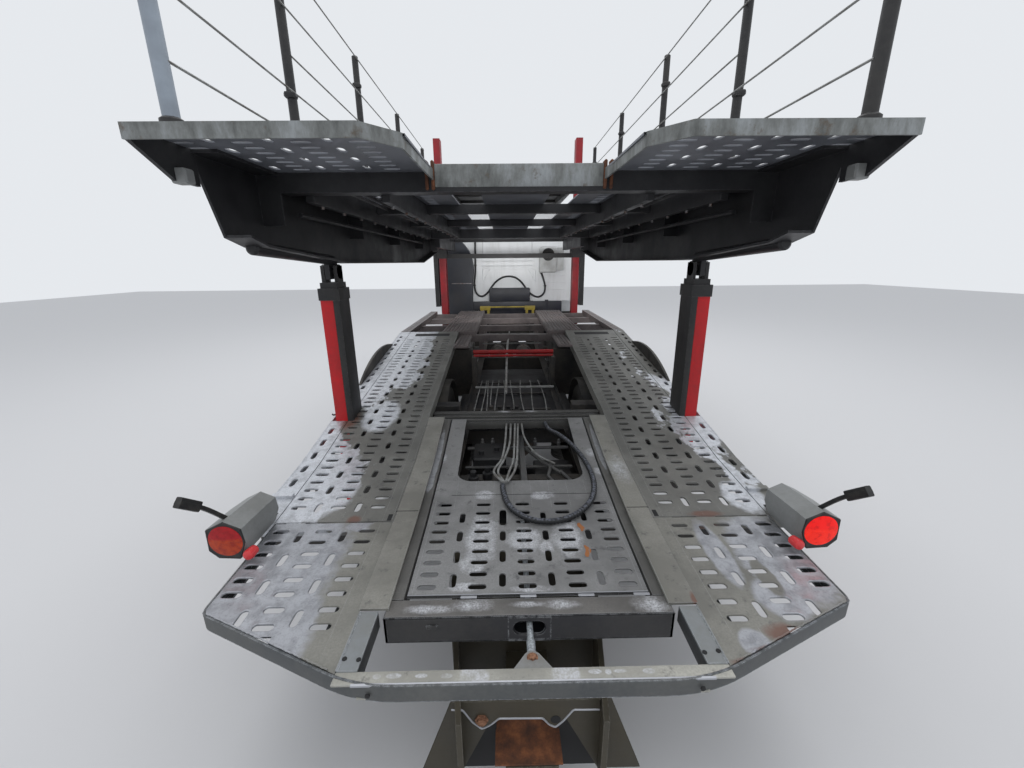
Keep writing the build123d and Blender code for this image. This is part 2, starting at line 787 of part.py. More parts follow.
# Upper deck plates: two tracks that splay at the rear, and the walkway between them
rear_plate = [  # x, station
    (upper_half_width, upper_rear_station),
    (505, upper_rear_station),
    (400, upper_rear_station + 125),
    (upper_inner, upper_joint_station - 20),
    (upper_half_width, upper_joint_station - 20),
]
front_plate = [
    (upper_inner, upper_joint_station + 20),
    (upper_half_width, upper_joint_station + 20),
    (upper_half_width, upper_step_station),
    (upper_neck, upper_step_station),
    (upper_neck, upper_front_station),
    (upper_inner, upper_front_station),
]
walkway_rear = crossmembers[0][0]
rear_flange_depth = 47
with BuildPart() as upper_deck_plates:
    for outline in (rear_plate, front_plate):
        add(both_sides(plan_form(outline, upper_under, upper_top)))
    for rear, front in [(walkway_rear, upper_joint_station - 20),
                        (upper_joint_station + 20, upper_front_station)]:
        add(bar(-walkway_half_width, walkway_half_width, rear, front, upper_under, upper_top))
    add(both_sides(bar(rear_plate[1][0], upper_half_width, upper_rear_station,
                       upper_rear_station + plate_thickness,
                       upper_under - rear_flange_depth, upper_top)))
keep("upper_deck_plates", upper_deck_plates.part)

# Stanchions along the upper deck's edges, eight-sided tubes
stanchion_stations = [640, 1560, 2700, 3950, 5300]
stanchion_offset = upper_half_width - 50
stanchion_radius = 24
stanchion_height = 1050
stanchions = []
for station in stanchion_stations:
    with BuildPart() as stanchion:
        with BuildSketch(Plane.XY.offset(upper_top)):
            with Locations((stanchion_offset, at(station))):
                RegularPolygon(stanchion_radius, 8)
        extrude(amount=stanchion_height)
    stanchions += both_sides(stanchion.part)
keep("stanchions", *stanchions)

# Head rack over the cab: two tracks on beams, hinged behind the cab
rack_under = rack_top - plate_thickness
rack_beam_inner = mast_inner - 60
rack_beam_outer = mast_inner - 6
rack_track_inner = 450
rack_track_outer = mast_inner + 130
rack_bar_stations = [rack_hinge_station + 70, 7400, 8300, rack_front_station - 80]
with BuildPart() as head_rack:
    rack_beam = [
        (rack_hinge_station - 30, rack_hinge_height - 50),
        (rack_hinge_station + 570, rack_hinge_height - 30),
        (rack_front_station, rack_hinge_height + 40),
        (rack_front_station, rack_under),
        (rack_hinge_station - 30, rack_under),
    ]
    add(both_sides(side_form(rack_beam, rack_beam_inner, rack_beam_outer)))
    for form in both_sides(cross_round(hinge_pin_radius + 0.05, rack_hinge_station,
                                       rack_hinge_height, rack_beam_inner - 1,
                                       rack_beam_outer + 1)):
        add(form, mode=Mode.SUBTRACT)
    for station in rack_bar_stations:
        add(bar(-rack_beam_inner, rack_beam_inner, station, station + 80, rack_under - 50,
                rack_under))
    add(both_sides(bar(rack_track_inner, rack_track_outer, rack_hinge_station + 30,
                       rack_front_station, rack_under, rack_top)))
keep("head_rack", head_rack.part)

# Cab outlines: from the side, in plan, and across, with the front corners and the roof's
# edges drawn in
cab_side = [  # station, height
    (cab_rear_station, cab_rear_floor),
    (cab_rear_station + 450, cab_rear_floor),
    (cab_rear_station + 600, cab_floor),
    (cab_front_station, cab_floor),
    (cab_front_station - 20, 1700),
    (cab_front_station - 80, 2000),
    (cab_front_station - 360, 2900),
    (cab_front_station - 630, cab_roof - 10),
    (7800, cab_roof),
    (7000, cab_roof - 60),
    (cab_rear_station, cab_roof - 170),
]
corner_station = door_front_station + 50
nose_half_width = 1130
cab_plan = [  # x, station
    (-cab_half_width, cab_rear_station),
    (cab_half_width, cab_rear_station),
    (cab_half_width, corner_station),
    (nose_half_width, cab_front_station),
    (-nose_half_width, cab_front_station),
    (-cab_half_width, corner_station),
]
cab_across = [  # x, height
    (-cab_half_width, cab_floor),
    (cab_half_width, cab_floor),
    (cab_half_width, cab_roof - 220),
    (cab_half_width - 45, cab_roof - 60),
    (cab_half_width - 140, cab_roof),
    (-cab_half_width + 140, cab_roof),
    (-cab_half_width + 45, cab_roof - 60),
    (-cab_half_width, cab_roof - 220),
]
door_sill = cab_floor + 30
door_window_top = 2610
window_bottom = 1900
door_outline = [  # station, height
    (door_rear_station, door_sill),
    (door_front_station, door_sill),
    (door_front_station, 1960),
    (door_front_station - 240, door_window_top + 90),
    (door_rear_station, door_window_top + 90),
]
door_window = [
    (door_rear_station + 110, window_bottom),
    (door_front_station - 110, window_bottom),
    (door_front_station - 110, window_bottom + 110),
    (door_front_station - 320, door_window_top),
    (door_rear_station + 110, door_window_top),
]
hinge_bottoms = [door_sill + 100, door_sill + 650]
hinge_offset = cab_half_width + 10
hinge_station = door_front_station - 4
hinge_radius = 9
hinge_half = 45


def inset(points, amount):
    """A closed outline, drawn in by an amount on every side."""
    with BuildSketch() as drawn:
        with BuildLine():
            Polyline(*points, close=True)
        make_face()
        offset(amount=-amount, kind=Kind.INTERSECTION)
    corners = drawn.sketch.faces()[0].outer_wire().order_edges()
    return [(edge.position_at(0).X, edge.position_at(0).Y) for edge in corners]


def cab_body(side, plan, across):
    """A closed form with the cab's three outlines."""
    with BuildPart() as body:
        add(side_form(side, -cab_half_width, cab_half_width))
        add(plan_form(plan, cab_floor - 50, cab_roof + 50), mode=Mode.INTERSECT)
        add(front_form(across, cab_rear_station, cab_front_station), mode=Mode.INTERSECT)
    return body.part


def hinge_half_form(bottom, leaf_rear, leaf_front):
    """Half of a door's hinge: a round knuckle on the door's axis and its leaf on the skin."""
    with BuildPart() as half:
        add(upright(hinge_offset, hinge_station, hinge_radius, bottom,
                    bottom + hinge_half - running_gap))
        add(bar(cab_half_width, cab_half_width + 6, leaf_rear, leaf_front, bottom,
                bottom + hinge_half - running_gap))
    return half.part


# Cab shell: hollow, with the door and windscreen openings cut, and the pillars' hinge halves
with BuildPart() as cab_shell:
    add(cab_body(cab_side, cab_plan, cab_across))
    add(cab_body(*[inset(outline, cab_wall) for outline in (cab_side, cab_plan, cab_across)]),
        mode=Mode.SUBTRACT)
    for form in both_sides(side_form(door_outline, cab_half_width - cab_wall - 20,
                                     cab_half_width + 10)):
        add(form, mode=Mode.SUBTRACT)
    add(bar(-screen_half_width, screen_half_width, cab_front_station - 530,
            cab_front_station + 20, screen_bottom, screen_top), mode=Mode.SUBTRACT)
    for bottom in hinge_bottoms:
        add(both_sides(hinge_half_form(bottom, hinge_station, hinge_station + 44)))
keep("cab_shell", cab_shell.part)


def face_station(corner, height):
    """The station of the cab's front face at a height, on the run above a corner."""
    low, high = cab_side[corner], cab_side[corner + 1]
    return low[0] + (high[0] - low[0]) * (height - low[1]) / (high[1] - low[1])


screen_corner = 5
glass_inset = 12
glass_thickness = 12
screen_low = screen_bottom + running_gap
screen_high = screen_top - running_gap
glass_low = face_station(screen_corner, screen_low) - glass_inset
glass_high = face_station(screen_corner, screen_high) - glass_inset
glass = [
    (glass_low, screen_low),
    (glass_high, screen_high),
    (glass_high - glass_thickness, screen_high),
    (glass_low - glass_thickness, screen_low),
]
keep("windscreen", side_form(glass, -screen_half_width + running_gap,
                             screen_half_width - running_gap))

# Doors: each a full-thickness panel with its window cut and its hinge halves, and the glass
with BuildPart() as door_right:
    add(side_form(inset(door_outline, door_gap), cab_half_width - door_thickness,
                  cab_half_width))
    add(side_form(door_window, cab_half_width - door_thickness - 1, cab_half_width + 1),
        mode=Mode.SUBTRACT)
    for bottom in hinge_bottoms:
        add(hinge_half_form(bottom + hinge_half, hinge_station - 44, hinge_station))
keep("door_right", door_right.part)
keep("door_left", mirror(door_right.part, about=Plane.YZ))
door_glass = side_form(inset(door_window, running_gap), cab_half_width - 34, cab_half_width - 28)
keep("door_glass_right", door_glass)
keep("door_glass_left", mirror(door_glass, about=Plane.YZ))

# Cab interior: dashboard, two seats and the bunk
floor_top = cab_floor + cab_wall
seat_offset = 640
seat_rear = door_rear_station - 20
with BuildPart() as dashboard:
    dash = [(8560, 1700), (8560, 1980), (8700, 2000), (8820, 1960), (8870, 1700)]
    add(side_form(dash, -1100, 1100))
    add(bar(-300, 300, 8600, 8860, floor_top, 1700))
seats = []
for offset_x in (-seat_offset, seat_offset):
    with BuildPart() as seat:
        add(bar(offset_x - 200, offset_x + 200, seat_rear + 50, seat_rear + 450, floor_top, 1500))
        add(bar(offset_x - 260, offset_x + 260, seat_rear, seat_rear + 530, 1500, 1640))
        add(side_form([(seat_rear, 1640), (seat_rear + 130, 1640), (seat_rear, 2350),
                       (seat_rear - 110, 2350)], offset_x - 250, offset_x + 250))
    seats.append(seat.part)
bunk = bar(-1180, 1180, cab_rear_station + cab_wall, cab_rear_station + 650,
           cab_rear_floor + cab_wall, 1720)
keep("cab_interior", dashboard.part, *seats, bunk)

# Front bumper, with two steps cut into each side below the door
bumper_half_width = cab_half_width + 15
bumper_front = cab_front_station + 80
bumper_bottom = 330
bumper_top = cab_floor - 30
step_heights = [(440, 600), (700, 860)]
with BuildPart() as front_bumper:
    nose = [(-bumper_half_width, door_front_station - 20),
            (-bumper_half_width, bumper_front - 100),
            (-bumper_half_width + 100, bumper_front),
            (bumper_half_width - 100, bumper_front),
            (bumper_half_width, bumper_front - 100),
            (bumper_half_width, door_front_station - 20)]
    add(plan_form(nose, bumper_bottom, bumper_top))
    add(both_sides(bar(1000, bumper_half_width, 8200, door_front_station - 20,
                       bumper_bottom + 20, bumper_top)))
    for bottom, top in step_heights:
        for form in both_sides(bar(1090, bumper_half_width + 1, 8260, 8700, bottom, top)):
            add(form, mode=Mode.SUBTRACT)
keep("front_bumper", front_bumper.part)

# Grille: a panel on the cab's face, with slats in a frame
grille_half_width = 900
grille_bottom = cab_floor + 20
grille_top = 1650
grille_panel = 8
grille_reach = 30
slat_count = 6
slat_height = 42
slat_pitch = (grille_top - grille_bottom - 40) / slat_count


def grille_band(low, high, near, far, x_low, x_high):
    """A band of the grille between two heights, and two distances off the cab's face."""
    corners = [(face_station(3, low) + near, low), (face_station(3, high) + near, high),
               (face_station(3, high) + far, high), (face_station(3, low) + far, low)]
    return side_form(corners, x_low, x_high)


with BuildPart() as grille:
    add(grille_band(grille_bottom, grille_top, 0, grille_panel, -grille_half_width,
                    grille_half_width))
    add(both_sides(grille_band(grille_bottom, grille_top, 0, grille_reach,
                               grille_half_width - 40, grille_half_width)))
    for index in range(slat_count):
        low = grille_bottom + 30 + index * slat_pitch
        add(grille_band(low, low + slat_height, grille_panel - 2, grille_reach,
                        -grille_half_width, grille_half_width))
keep("grille", grille.part)

# Headlamps in the bumper
lamp_glass_inner = 780
lamp_glass_outer = 1120
keep("headlamps", *both_sides(bar(lamp_glass_inner, lamp_glass_outer, bumper_front,
                                  bumper_front + 20, 640, 820)))

# Mirrors on arms from the front pillars, ahead of the open doors
mirror_inner = cab_half_width + 55
mirror_outer = cab_half_width + 165
mirror_station = door_front_station + 25
mirror_length = 65
mirror_bottom = 1850
mirror_top = 2420
mirror_arm_depth = 25
with BuildPart() as mirror_right:
    arm = [(cab_half_width, door_front_station - 100),
           (cab_half_width, door_front_station - 65),
           (mirror_inner + 10, mirror_station + 25),
           (mirror_inner + 40, mirror_station + 25)]
    arm_top = mirror_top - 10
    add(plan_form(arm, arm_top - mirror_arm_depth, arm_top))
    add(bar(mirror_inner, mirror_outer, mirror_station, mirror_station + mirror_length,
            mirror_bottom, mirror_top))
keep("mirrors", *both_sides(mirror_right.part))

# Air intake on the cab's rear left corner
rear_wall_depth = 140
wall_gear_station = cab_rear_station - rear_wall_depth
intake = [(-1200, 1100), (-640, 1100), (-640, 2250), (-720, 2450), (-860, 2600), (-1200, 2600)]
keep("air_intake", front_form(intake, wall_gear_station, cab_rear_station))

# Cooler box on the rear wall, with the round recess of its fan
cooler_left = 520
cooler_right = 950
cooler_bottom = 1860
cooler_top = 2290
fan_radius = 130
fan_depth = 30
with BuildPart() as cooler_box:
    add(bar(cooler_left, cooler_right, wall_gear_station, cab_rear_station, cooler_bottom,
            cooler_top))
    with BuildSketch(Plane.XZ.offset(-at(wall_gear_station))):
        with Locations((cooler_left + 160, cooler_top - 200)):
            RegularPolygon(fan_radius, wheel_sides)
    extrude(amount=-fan_depth, mode=Mode.SUBTRACT)
keep("cooler_box", cooler_box.part)

# Wings over the front wheels, hung from the cab's floor
wing_radius = 620
wing_inner = 900
wing_outer = cab_half_width + 10
guard_sides = 24
with BuildPart() as wing:
    add(arch(wing_radius, 12, guard_sides, front_axle_station, wing_inner, wing_outer))
    add(bar(wing_inner, wing_inner + 45, front_axle_station - 60, front_axle_station + 60,
            wheel_axis_height + wing_radius - 4, cab_floor))
keep("front_wings", *both_sides(wing.part))

# Rear mudguards over the twin wheels, and the arched boards above the tracks' outer edge
guard_radius = 528
guard_inner = 575
guard_outer = half_width - 25
board_rear = 2366
board_peak = 2900
board_front = 3434
board_rise = 100
with BuildPart() as guard:
    add(arch(guard_radius, 8, guard_sides, rear_axle_station, guard_inner, guard_outer))
    hanger = [(rear_axle_station - 30, 1004), (rear_axle_station + 30, 1004),
              (rear_axle_station + 30, deck_height(rear_axle_station + 30) - track_flange),
              (rear_axle_station - 30, deck_height(rear_axle_station - 30) - track_flange)]
    add(side_form(hanger, track_outer, track_outer + plate_thickness))
with BuildPart() as board:
    with BuildSketch(Plane.YZ.offset(half_width - 20)):
        with BuildLine():
            rear_corner = (at(board_rear), deck_height(board_rear))
            front_corner = (at(board_front), deck_height(board_front))
            peak = (at(board_peak), deck_height(board_peak) + board_rise)
            ThreePointArc(rear_corner, peak, front_corner)
            Line(front_corner, rear_corner)
        make_face()
    extrude(amount=20)
keep("rear_mudguards", *both_sides(guard.part), *both_sides(board.part))

# Fuel tank on the left, tool box on the right, each on two brackets from the rail
box_inner = 560
box_outer = 1220
box_rear = 4200
box_front = 5600
box_top = 980
bracket_stations = [4300, 5400]
bracket_width = 100
tank_bottom = 400
with BuildPart() as fuel_tank:
    add(bar(-box_outer, -box_inner, box_rear, box_front, tank_bottom, box_top))
    fillet(fuel_tank.edges().filter_by(Axis.Y), radius=90)
    for station in bracket_stations:
        add(bar(-box_inner, -rail_outer, station, station + bracket_width, 620, 800))
keep("fuel_tank", fuel_tank.part)
with BuildPart() as tool_box:
    add(bar(box_inner, box_outer, box_rear, box_front, tank_bottom + 20, box_top))
    for station in bracket_stations:
        add(bar(rail_outer, box_inner, station, station + bracket_width, 620, 800))
keep("tool_box", tool_box.part)

# Side guards between the wheels and the boxes
guard_rail_low = 420
guard_rail_high = 680
guard_rail_height = 120
guard_runs = [  # rear, front, arms
    (3520, 4150, (3700,)),
    (5680, 6800, (5800, 6600)),
]
with BuildPart() as guard_right:
    for rear, front, arms in guard_runs:
        for bottom in (guard_rail_low, guard_rail_high):
            add(bar(guard_outer - 25, guard_outer, rear, front, bottom,
                    bottom + guard_rail_height))
        for station in arms:
            add(bar(guard_outer - 85, guard_outer - 25, station, station + 60,
                    guard_rail_low, guard_rail_high + guard_rail_height))
            add(bar(rail_outer, guard_outer - 85, station, station + 60, 640, 700))
keep("side_guards", *both_sides(guard_right.part))

# Low coupling carrier under the tail, with the drawbar pin's bore in its tongue
pin_bore_radius = 25.5
pin_bore_station = 130
carrier_bottom = 280
carrier_top = 620
tongue_half_width = 90
tongue_bottom = 300
tongue_top = 420
with BuildPart() as coupling_carrier:
    add(both_sides(plan_form([(230, 60), (250, 60), (340, 700), (320, 700)], carrier_bottom,
                             carrier_top)))
    add(bar(-320, 320, 500, 520, carrier_bottom, carrier_top + 20))
    add(bar(-tongue_half_width, tongue_half_width, 60, 500, tongue_bottom, tongue_top))
    add(upright(0, pin_bore_station, pin_bore_radius, tongue_bottom, tongue_top),
        mode=Mode.SUBTRACT)
    add(bar(-340, 340, bearer_station, bearer_station + bearer_length, carrier_bottom,
            bearer_bottom))
    add(both_sides(bar(300, 340, 700, bearer_station, carrier_bottom, carrier_top)))
keep("coupling_carrier", coupling_carrier.part)

# Tail lamps: a box with an eight-sided rear face and a round lens, on a foot on the strip
lamp_rear = 520
lamp_front = tail_join_station - 2
lamp_inner = half_width - 150
lamp_middle = half_width - 75
lamp_bottom = 905
lamp_top = 1075
lens_radius = 68
lens_reach = 8
with BuildPart() as lamp:
    face = [(lamp_inner, lamp_bottom + 35), (lamp_inner + 35, lamp_bottom),
            (half_width - 35, lamp_bottom), (half_width, lamp_bottom + 35),
            (half_width, lamp_top - 40), (half_width - 40, lamp_top),
            (lamp_inner + 35, lamp_top), (lamp_inner, lamp_top - 40)]
    add(front_form(face, lamp_rear, lamp_front))
    foot = [(tail_join_station, deck_height(tail_join_station)), (840, deck_height(840)),
            (840, lamp_bottom), (700, lamp_bottom), (700, lamp_bottom - 10)]
    add(side_form(foot, half_width - 100, half_width - 30))
    with BuildSketch(Plane.XZ.offset(-at(lamp_rear))):
        with Locations((lamp_middle, (lamp_bottom + lamp_top) / 2)):
            RegularPolygon(lens_radius, wheel_sides)
    extrude(amount=lens_reach)
keep("tail_lamps", *both_sides(lamp.part))

# Sliding tail platform: rear channel, two slotted plates, rim, slide tubes and the lock rod
rim_depth = 60
slide_inner = 640
slide_outer = 700
rod_radius = 11
rod_height = eye_slot_height
channel_half_width = crossbeam_half_width + 8
channel_length = 50
tail_front = tail_join_station - 1
tail_outline = [  # x, station
    (-channel_half_width, 0),
    (channel_half_width, 0),
    (track_outer, 273),
    (track_outer, tail_front),
    (-track_outer, tail_front),
    (-track_outer, 273),
]
tail_bends = [(0, tail_rear_height), (tail_front, tail_join_height)]
tail_inner = cover_outer + 6
opening = [
    (-channel_half_width, channel_length),
    (channel_half_width, channel_length),
    (channel_half_width, 262),
    (tail_inner, 262),
    (tail_inner, tail_join_station),
    (-tail_inner, tail_join_station),
    (-tail_inner, 262),
    (-channel_half_width, 262),
]
slotted_inner = 689
slotted_spread = 162
slotted_rear = 330
slotted_count = 7


def tail_slab(outline, top_line):
    """A slab as deep as the rim, with the tail's outline in plan and a given top line."""
    with BuildPart() as slab:
        add(ribbon(top_line, rim_depth, -track_outer, track_outer))
        add(plan_form(outline, bearer_bottom, crossbar_top), mode=Mode.INTERSECT)
    return slab.part


hollow_outline = [(x * 0.993, min(station + 9, tail_join_station)) for x, station in tail_outline]
hollow_line = [(station, height - plate_thickness) for station, height in tail_bends]
with BuildPart() as tail_platform:
    add(tail_slab(tail_outline, tail_bends))
    add(tail_slab(hollow_outline, hollow_line), mode=Mode.SUBTRACT)
    # Open middle, for the crossbeam and the fixed centre frame
    add(plan_form(opening, bearer_bottom, crossbar_top), mode=Mode.SUBTRACT)
    # Slots across each plate
    with BuildSketch(Plane.XY.offset(bearer_bottom)):
        for side in (-1, 1):
            for column in range(3):
                for row in range(slotted_count):
                    with Locations((side * (slotted_inner + column * slotted_spread),
                                    at(slotted_rear + row * slot_pitch))):
                        Rectangle(slot_length, slot_width)
    extrude(amount=crossbar_top - bearer_bottom, mode=Mode.SUBTRACT)
    add(both_sides(bar(slide_inner, slide_outer, 60, 1300, bearer_top + running_gap, 850)))
    web = [(60, 848), (tail_front, 848), (tail_front, 879), (60, 858)]
    add(both_sides(side_form(web, slide_inner, slide_inner + plate_thickness)))
    # Bottom lip of the rear channel, the rod's bracket and the rod
    add(bar(-channel_half_width, channel_half_width, 0, channel_length,
            tail_rear_height - rim_depth, tail_rear_height - rim_depth + plate_thickness))
    add(plan_form([(-60, 49), (60, 49), (25, 110), (-25, 110)], rod_height + 26,
                  rod_height + 40))
    add(bar(-16, 16, channel_length, 100, rod_height - 20, rod_height + 30))
    with BuildSketch(Plane.XZ.offset(-at(60))):
        with Locations((0, rod_height)):
            Circle(rod_radius)
    extrude(amount=-800)
keep("tail_platform", tail_platform.part)


def cord_tube(points, diameter, sides):
    """A many-sided tube through a route of x, station and height, its corners turned by arcs."""
    route = [Vector(x, at(station), height) for x, station, height in points]
    radii = []
    for before, corner, after in zip(route, route[1:], route[2:]):
        turn = math.radians((corner - before).get_angle(after - corner))
        shorter = min((corner - before).length, (after - corner).length)
        radii.append(0.45 * shorter / math.tan(turn / 2))
    print("cord radii", [round(radius) for radius in radii])
    with BuildPart() as tube:
        with BuildLine() as line:
            path = FilletPolyline(*route, radius=radii)
        with BuildSketch(Plane(origin=path @ 0, z_dir=path % 0)) as section:
            RegularPolygon(diameter / 2, sides)
        sweep()
    print("cord length", round(path.length), "volume ratio",
          round(tube.part.volume / (section.sketch.area * path.length), 4))
    return tube.part


# Wrapped hose that lies in a loop on the centre plate
hose_diameter = 30
hose_sides = 6
hose_route = [  # x, station, height
    (195, 1799.7, 968),
    (195, 1690, 968),
    (262, 1550, 990),
    (345, 1390, 964),
    (392, 1200, 936),
    (386, 1000, 917),
    (318, 850, 905),
    (190, 752, 897),
    (50, 748, 897),
    (-50, 830, 903),
    (-92, 945, 912),
    (-98, 1045, 921),
]
keep("tail_hose", cord_tube(hose_route, hose_diameter, hose_sides))

os.makedirs("parts", exist_ok=True)
for name, piece in parts.items():
    export_step(piece, f"parts/{name}.step")
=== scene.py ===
import math

import bpy
import numpy as np
from mathutils import Matrix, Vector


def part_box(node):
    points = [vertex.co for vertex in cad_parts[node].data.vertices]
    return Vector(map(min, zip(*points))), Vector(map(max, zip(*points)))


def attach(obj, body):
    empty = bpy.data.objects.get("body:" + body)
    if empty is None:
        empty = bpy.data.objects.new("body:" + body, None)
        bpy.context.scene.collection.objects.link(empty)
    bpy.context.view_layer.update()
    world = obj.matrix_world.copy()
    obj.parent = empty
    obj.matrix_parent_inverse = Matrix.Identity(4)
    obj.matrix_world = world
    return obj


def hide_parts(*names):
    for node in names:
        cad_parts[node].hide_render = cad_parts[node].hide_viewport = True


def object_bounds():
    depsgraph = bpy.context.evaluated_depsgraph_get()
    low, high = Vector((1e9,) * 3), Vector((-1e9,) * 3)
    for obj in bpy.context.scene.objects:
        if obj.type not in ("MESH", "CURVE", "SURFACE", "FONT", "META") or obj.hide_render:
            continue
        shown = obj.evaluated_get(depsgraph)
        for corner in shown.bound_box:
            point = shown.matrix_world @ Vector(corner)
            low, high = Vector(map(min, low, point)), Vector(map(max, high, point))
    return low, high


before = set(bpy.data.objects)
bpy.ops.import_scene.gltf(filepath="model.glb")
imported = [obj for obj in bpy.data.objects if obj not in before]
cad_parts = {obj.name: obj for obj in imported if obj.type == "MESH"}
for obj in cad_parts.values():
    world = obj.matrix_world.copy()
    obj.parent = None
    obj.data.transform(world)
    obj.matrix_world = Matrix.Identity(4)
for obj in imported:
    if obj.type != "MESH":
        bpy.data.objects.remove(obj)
cad_low, cad_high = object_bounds()

# Chassis rails
# Two long pressed channels with crossmembers riveted between them. They are painted black,
# and years of spray have left a dull grey-brown film. Rows of rivet heads mark each joint.
# Metres, with stations counted forward from the rearmost edge of the tail.


def at(station):
    """The y coordinate of a station."""
    return cad_low.y + np.asarray(station)


def patch(points, around=False, along=False):
    """Quads over a grid of points, rows by columns. Around joins the last column to the
    first, and along joins the last row to the first."""
    rows, columns = points.shape[:2]
    i = np.arange(rows if along else rows - 1)[:, None]
    j = np.arange(columns if around else columns - 1)[None, :]
    next_i, next_j = (i + 1) % rows, (j + 1) % columns
    quads = np.stack([i * columns + j, i * columns + next_j, next_i * columns + next_j,
            next_i * columns + j], axis=-1)
    return points.reshape(-1, 3), [quads.reshape(-1, 4)]


def outward(points, faces):
    """The same closed shell with its faces turned outwards: fans of triangles from each
    face's first corner give its signed volume, and a negative one turns every face."""
    volume = 0.0
    for polygons in faces:
        corners = points[polygons]
        fans = np.cross(corners[:, 1:-1], corners[:, 2:])
        volume += np.einsum("ik,ijk->", corners[:, 0], fans)
    return points, [polygons[:, ::-1] for polygons in faces] if volume < 0 else faces


def tube(rings):
    """Closed rings of points one after another, with a flat cap on the first and last."""
    points, faces = patch(rings, around=True)
    count, size = rings.shape[:2]
    caps = [np.arange(size)[None, ::-1], (count - 1) * size + np.arange(size)[None]]
    return outward(points, faces + caps)


def ring_of(outline, radius, steps=3):
    """A closed outline with each corner rounded: a parabola from a point one radius before
    the corner to a point one radius after it, with the corner as its control point."""
    corners = np.asarray(outline, float)
    back = np.roll(corners, 1, axis=0) - corners
    ahead = np.roll(corners, -1, axis=0) - corners
    reach_back = np.minimum(radius, np.linalg.norm(back, axis=1) / 2.02)[:, None]
    reach_ahead = np.minimum(radius, np.linalg.norm(ahead, axis=1) / 2.02)[:, None]
    start = corners + back / np.linalg.norm(back, axis=1)[:, None] * reach_back
    end = corners + ahead / np.linalg.norm(ahead, axis=1)[:, None] * reach_ahead
    t = np.linspace(0, 1, steps)[None, :, None]
    curve = (1 - t) ** 2 * start[:, None] + 2 * t * (1 - t) * corners[:, None] + t ** 2 * end[:, None]
    return curve.reshape(-1, corners.shape[1])


def rectangle(low, high, grow=0.0):
    """The four corners of a rectangle between two corners, moved outwards by a distance."""
    (u0, v0), (u1, v1) = low, high
    return np.array([(u0 - grow, v0 - grow), (u1 + grow, v0 - grow), (u1 + grow, v1 + grow),
            (u0 - grow, v1 + grow)])


def upright(outline, y):
    """An outline of x and height, stood up at one y."""
    flat = np.asarray(outline, float)
    return np.column_stack([flat[:, 0], np.full(len(flat), y), flat[:, 1]])


def looped(rings):
    """Closed rings joined one to the next and the last to the first, as in a hoop."""
    return outward(*patch(np.stack(rings), around=True, along=True))


def threaded(points, steps=48):
    """Points along a smooth line through a few given ones: at each place the cubic of its
    span, whose slopes are half the chord between the neighbours (Catmull and Rom's spline)."""
    given = np.asarray(points, float)
    ends = np.concatenate([2 * given[:1] - given[1:2], given, 2 * given[-1:] - given[-2:-1]])
    spans = len(given) - 1
    place = np.linspace(0, spans - 1e-9, steps)
    index = place.astype(int)
    t = (place - index)[:, None]
    a, b, c, d = (ends[index + k] for k in range(4))
    cubic = (3 * b - a - 3 * c + d) * t ** 3
    return 0.5 * (2 * b + (c - a) * t + (2 * a - 5 * b + 4 * c - d) * t ** 2 + cubic)


def beam(low, high, radius=0.003):
    """A straight bar between two corners: a rounded rectangle carried along its longest
    side, drawn in by the radius at both ends."""
    low, high = np.minimum(low, high).astype(float), np.maximum(low, high).astype(float)
    axis = int(np.argmax(high - low))
    across = [k for k in range(3) if k != axis]
    radius = min(radius, (high - low)[across].min() / 2.2)
    middle, half = (low + high) / 2, (high - low) / 2
    signs = np.array([(-1, -1), (1, -1), (1, 1), (-1, 1)])
    outer = ring_of(signs * half[across], radius)
    inner = ring_of(signs * (half[across] - radius), radius / 4)
    rings = np.empty((4, len(outer), 3))
    for row, (flat, along) in enumerate([(inner, low[axis]), (outer, low[axis] + radius),
                (outer, high[axis] - radius), (inner, high[axis])]):
        rings[row][:, across] = flat + middle[across]
        rings[row][:, axis] = along
    return tube(rings)


def bar(low, high, radius=0.003):
    """A beam between two corners that are given by x, station and height."""
    return beam((low[0], at(low[1]), low[2]), (high[0], at(high[1]), high[2]), radius)


def swept(section, path, up=(0, 0, 1), scale=None):
    """A closed section of side and rise carried along a path. The side is the path's
    direction crossed with up, and the rise is square to both."""
    path = np.asarray(path, float)
    heading = np.gradient(path, axis=0)
    heading /= np.linalg.norm(heading, axis=1)[:, None]
    side = np.cross(heading, np.asarray(up, float))
    side /= np.linalg.norm(side, axis=1)[:, None]
    rise = np.cross(side, heading)
    section = np.asarray(section, float)
    size = np.ones(len(path)) if scale is None else np.asarray(scale)
    spread = section[None, :, :1] * side[:, None] + section[None, :, 1:] * rise[:, None]
    return tube(path[:, None] + spread * size[:, None, None])


def circle(radius, steps=16):
    """A closed ring of points at one radius."""
    turn = np.linspace(0, 2 * np.pi, steps, endpoint=False)
    return np.stack([radius * np.cos(turn), radius * np.sin(turn)], axis=1)


def pipe(radius, steps, path, **settings):
    """A round section carried along a path."""
    return swept(circle(radius, steps), path, **settings)


def turned(profile, centre, axis, steps=48, hollow=False):
    """A profile of distance along an axis and radius, turned about the axis. A hollow
    profile closes on itself, and a plain one ends in two flat caps."""
    profile = np.asarray(profile, float)
    axis = np.asarray(axis, float) / np.linalg.norm(axis)
    first = np.cross(axis, (0, 0, 1) if abs(axis[2]) < 0.9 else (1, 0, 0))
    first /= np.linalg.norm(first)
    second = np.cross(axis, first)
    spin = circle(1, steps)
    round_it = spin[None, :, :1] * first + spin[None, :, 1:] * second
    rings = np.asarray(centre) + profile[:, :1, None] * axis + profile[:, 1:, None] * round_it
    return looped(rings) if hollow else tube(rings)


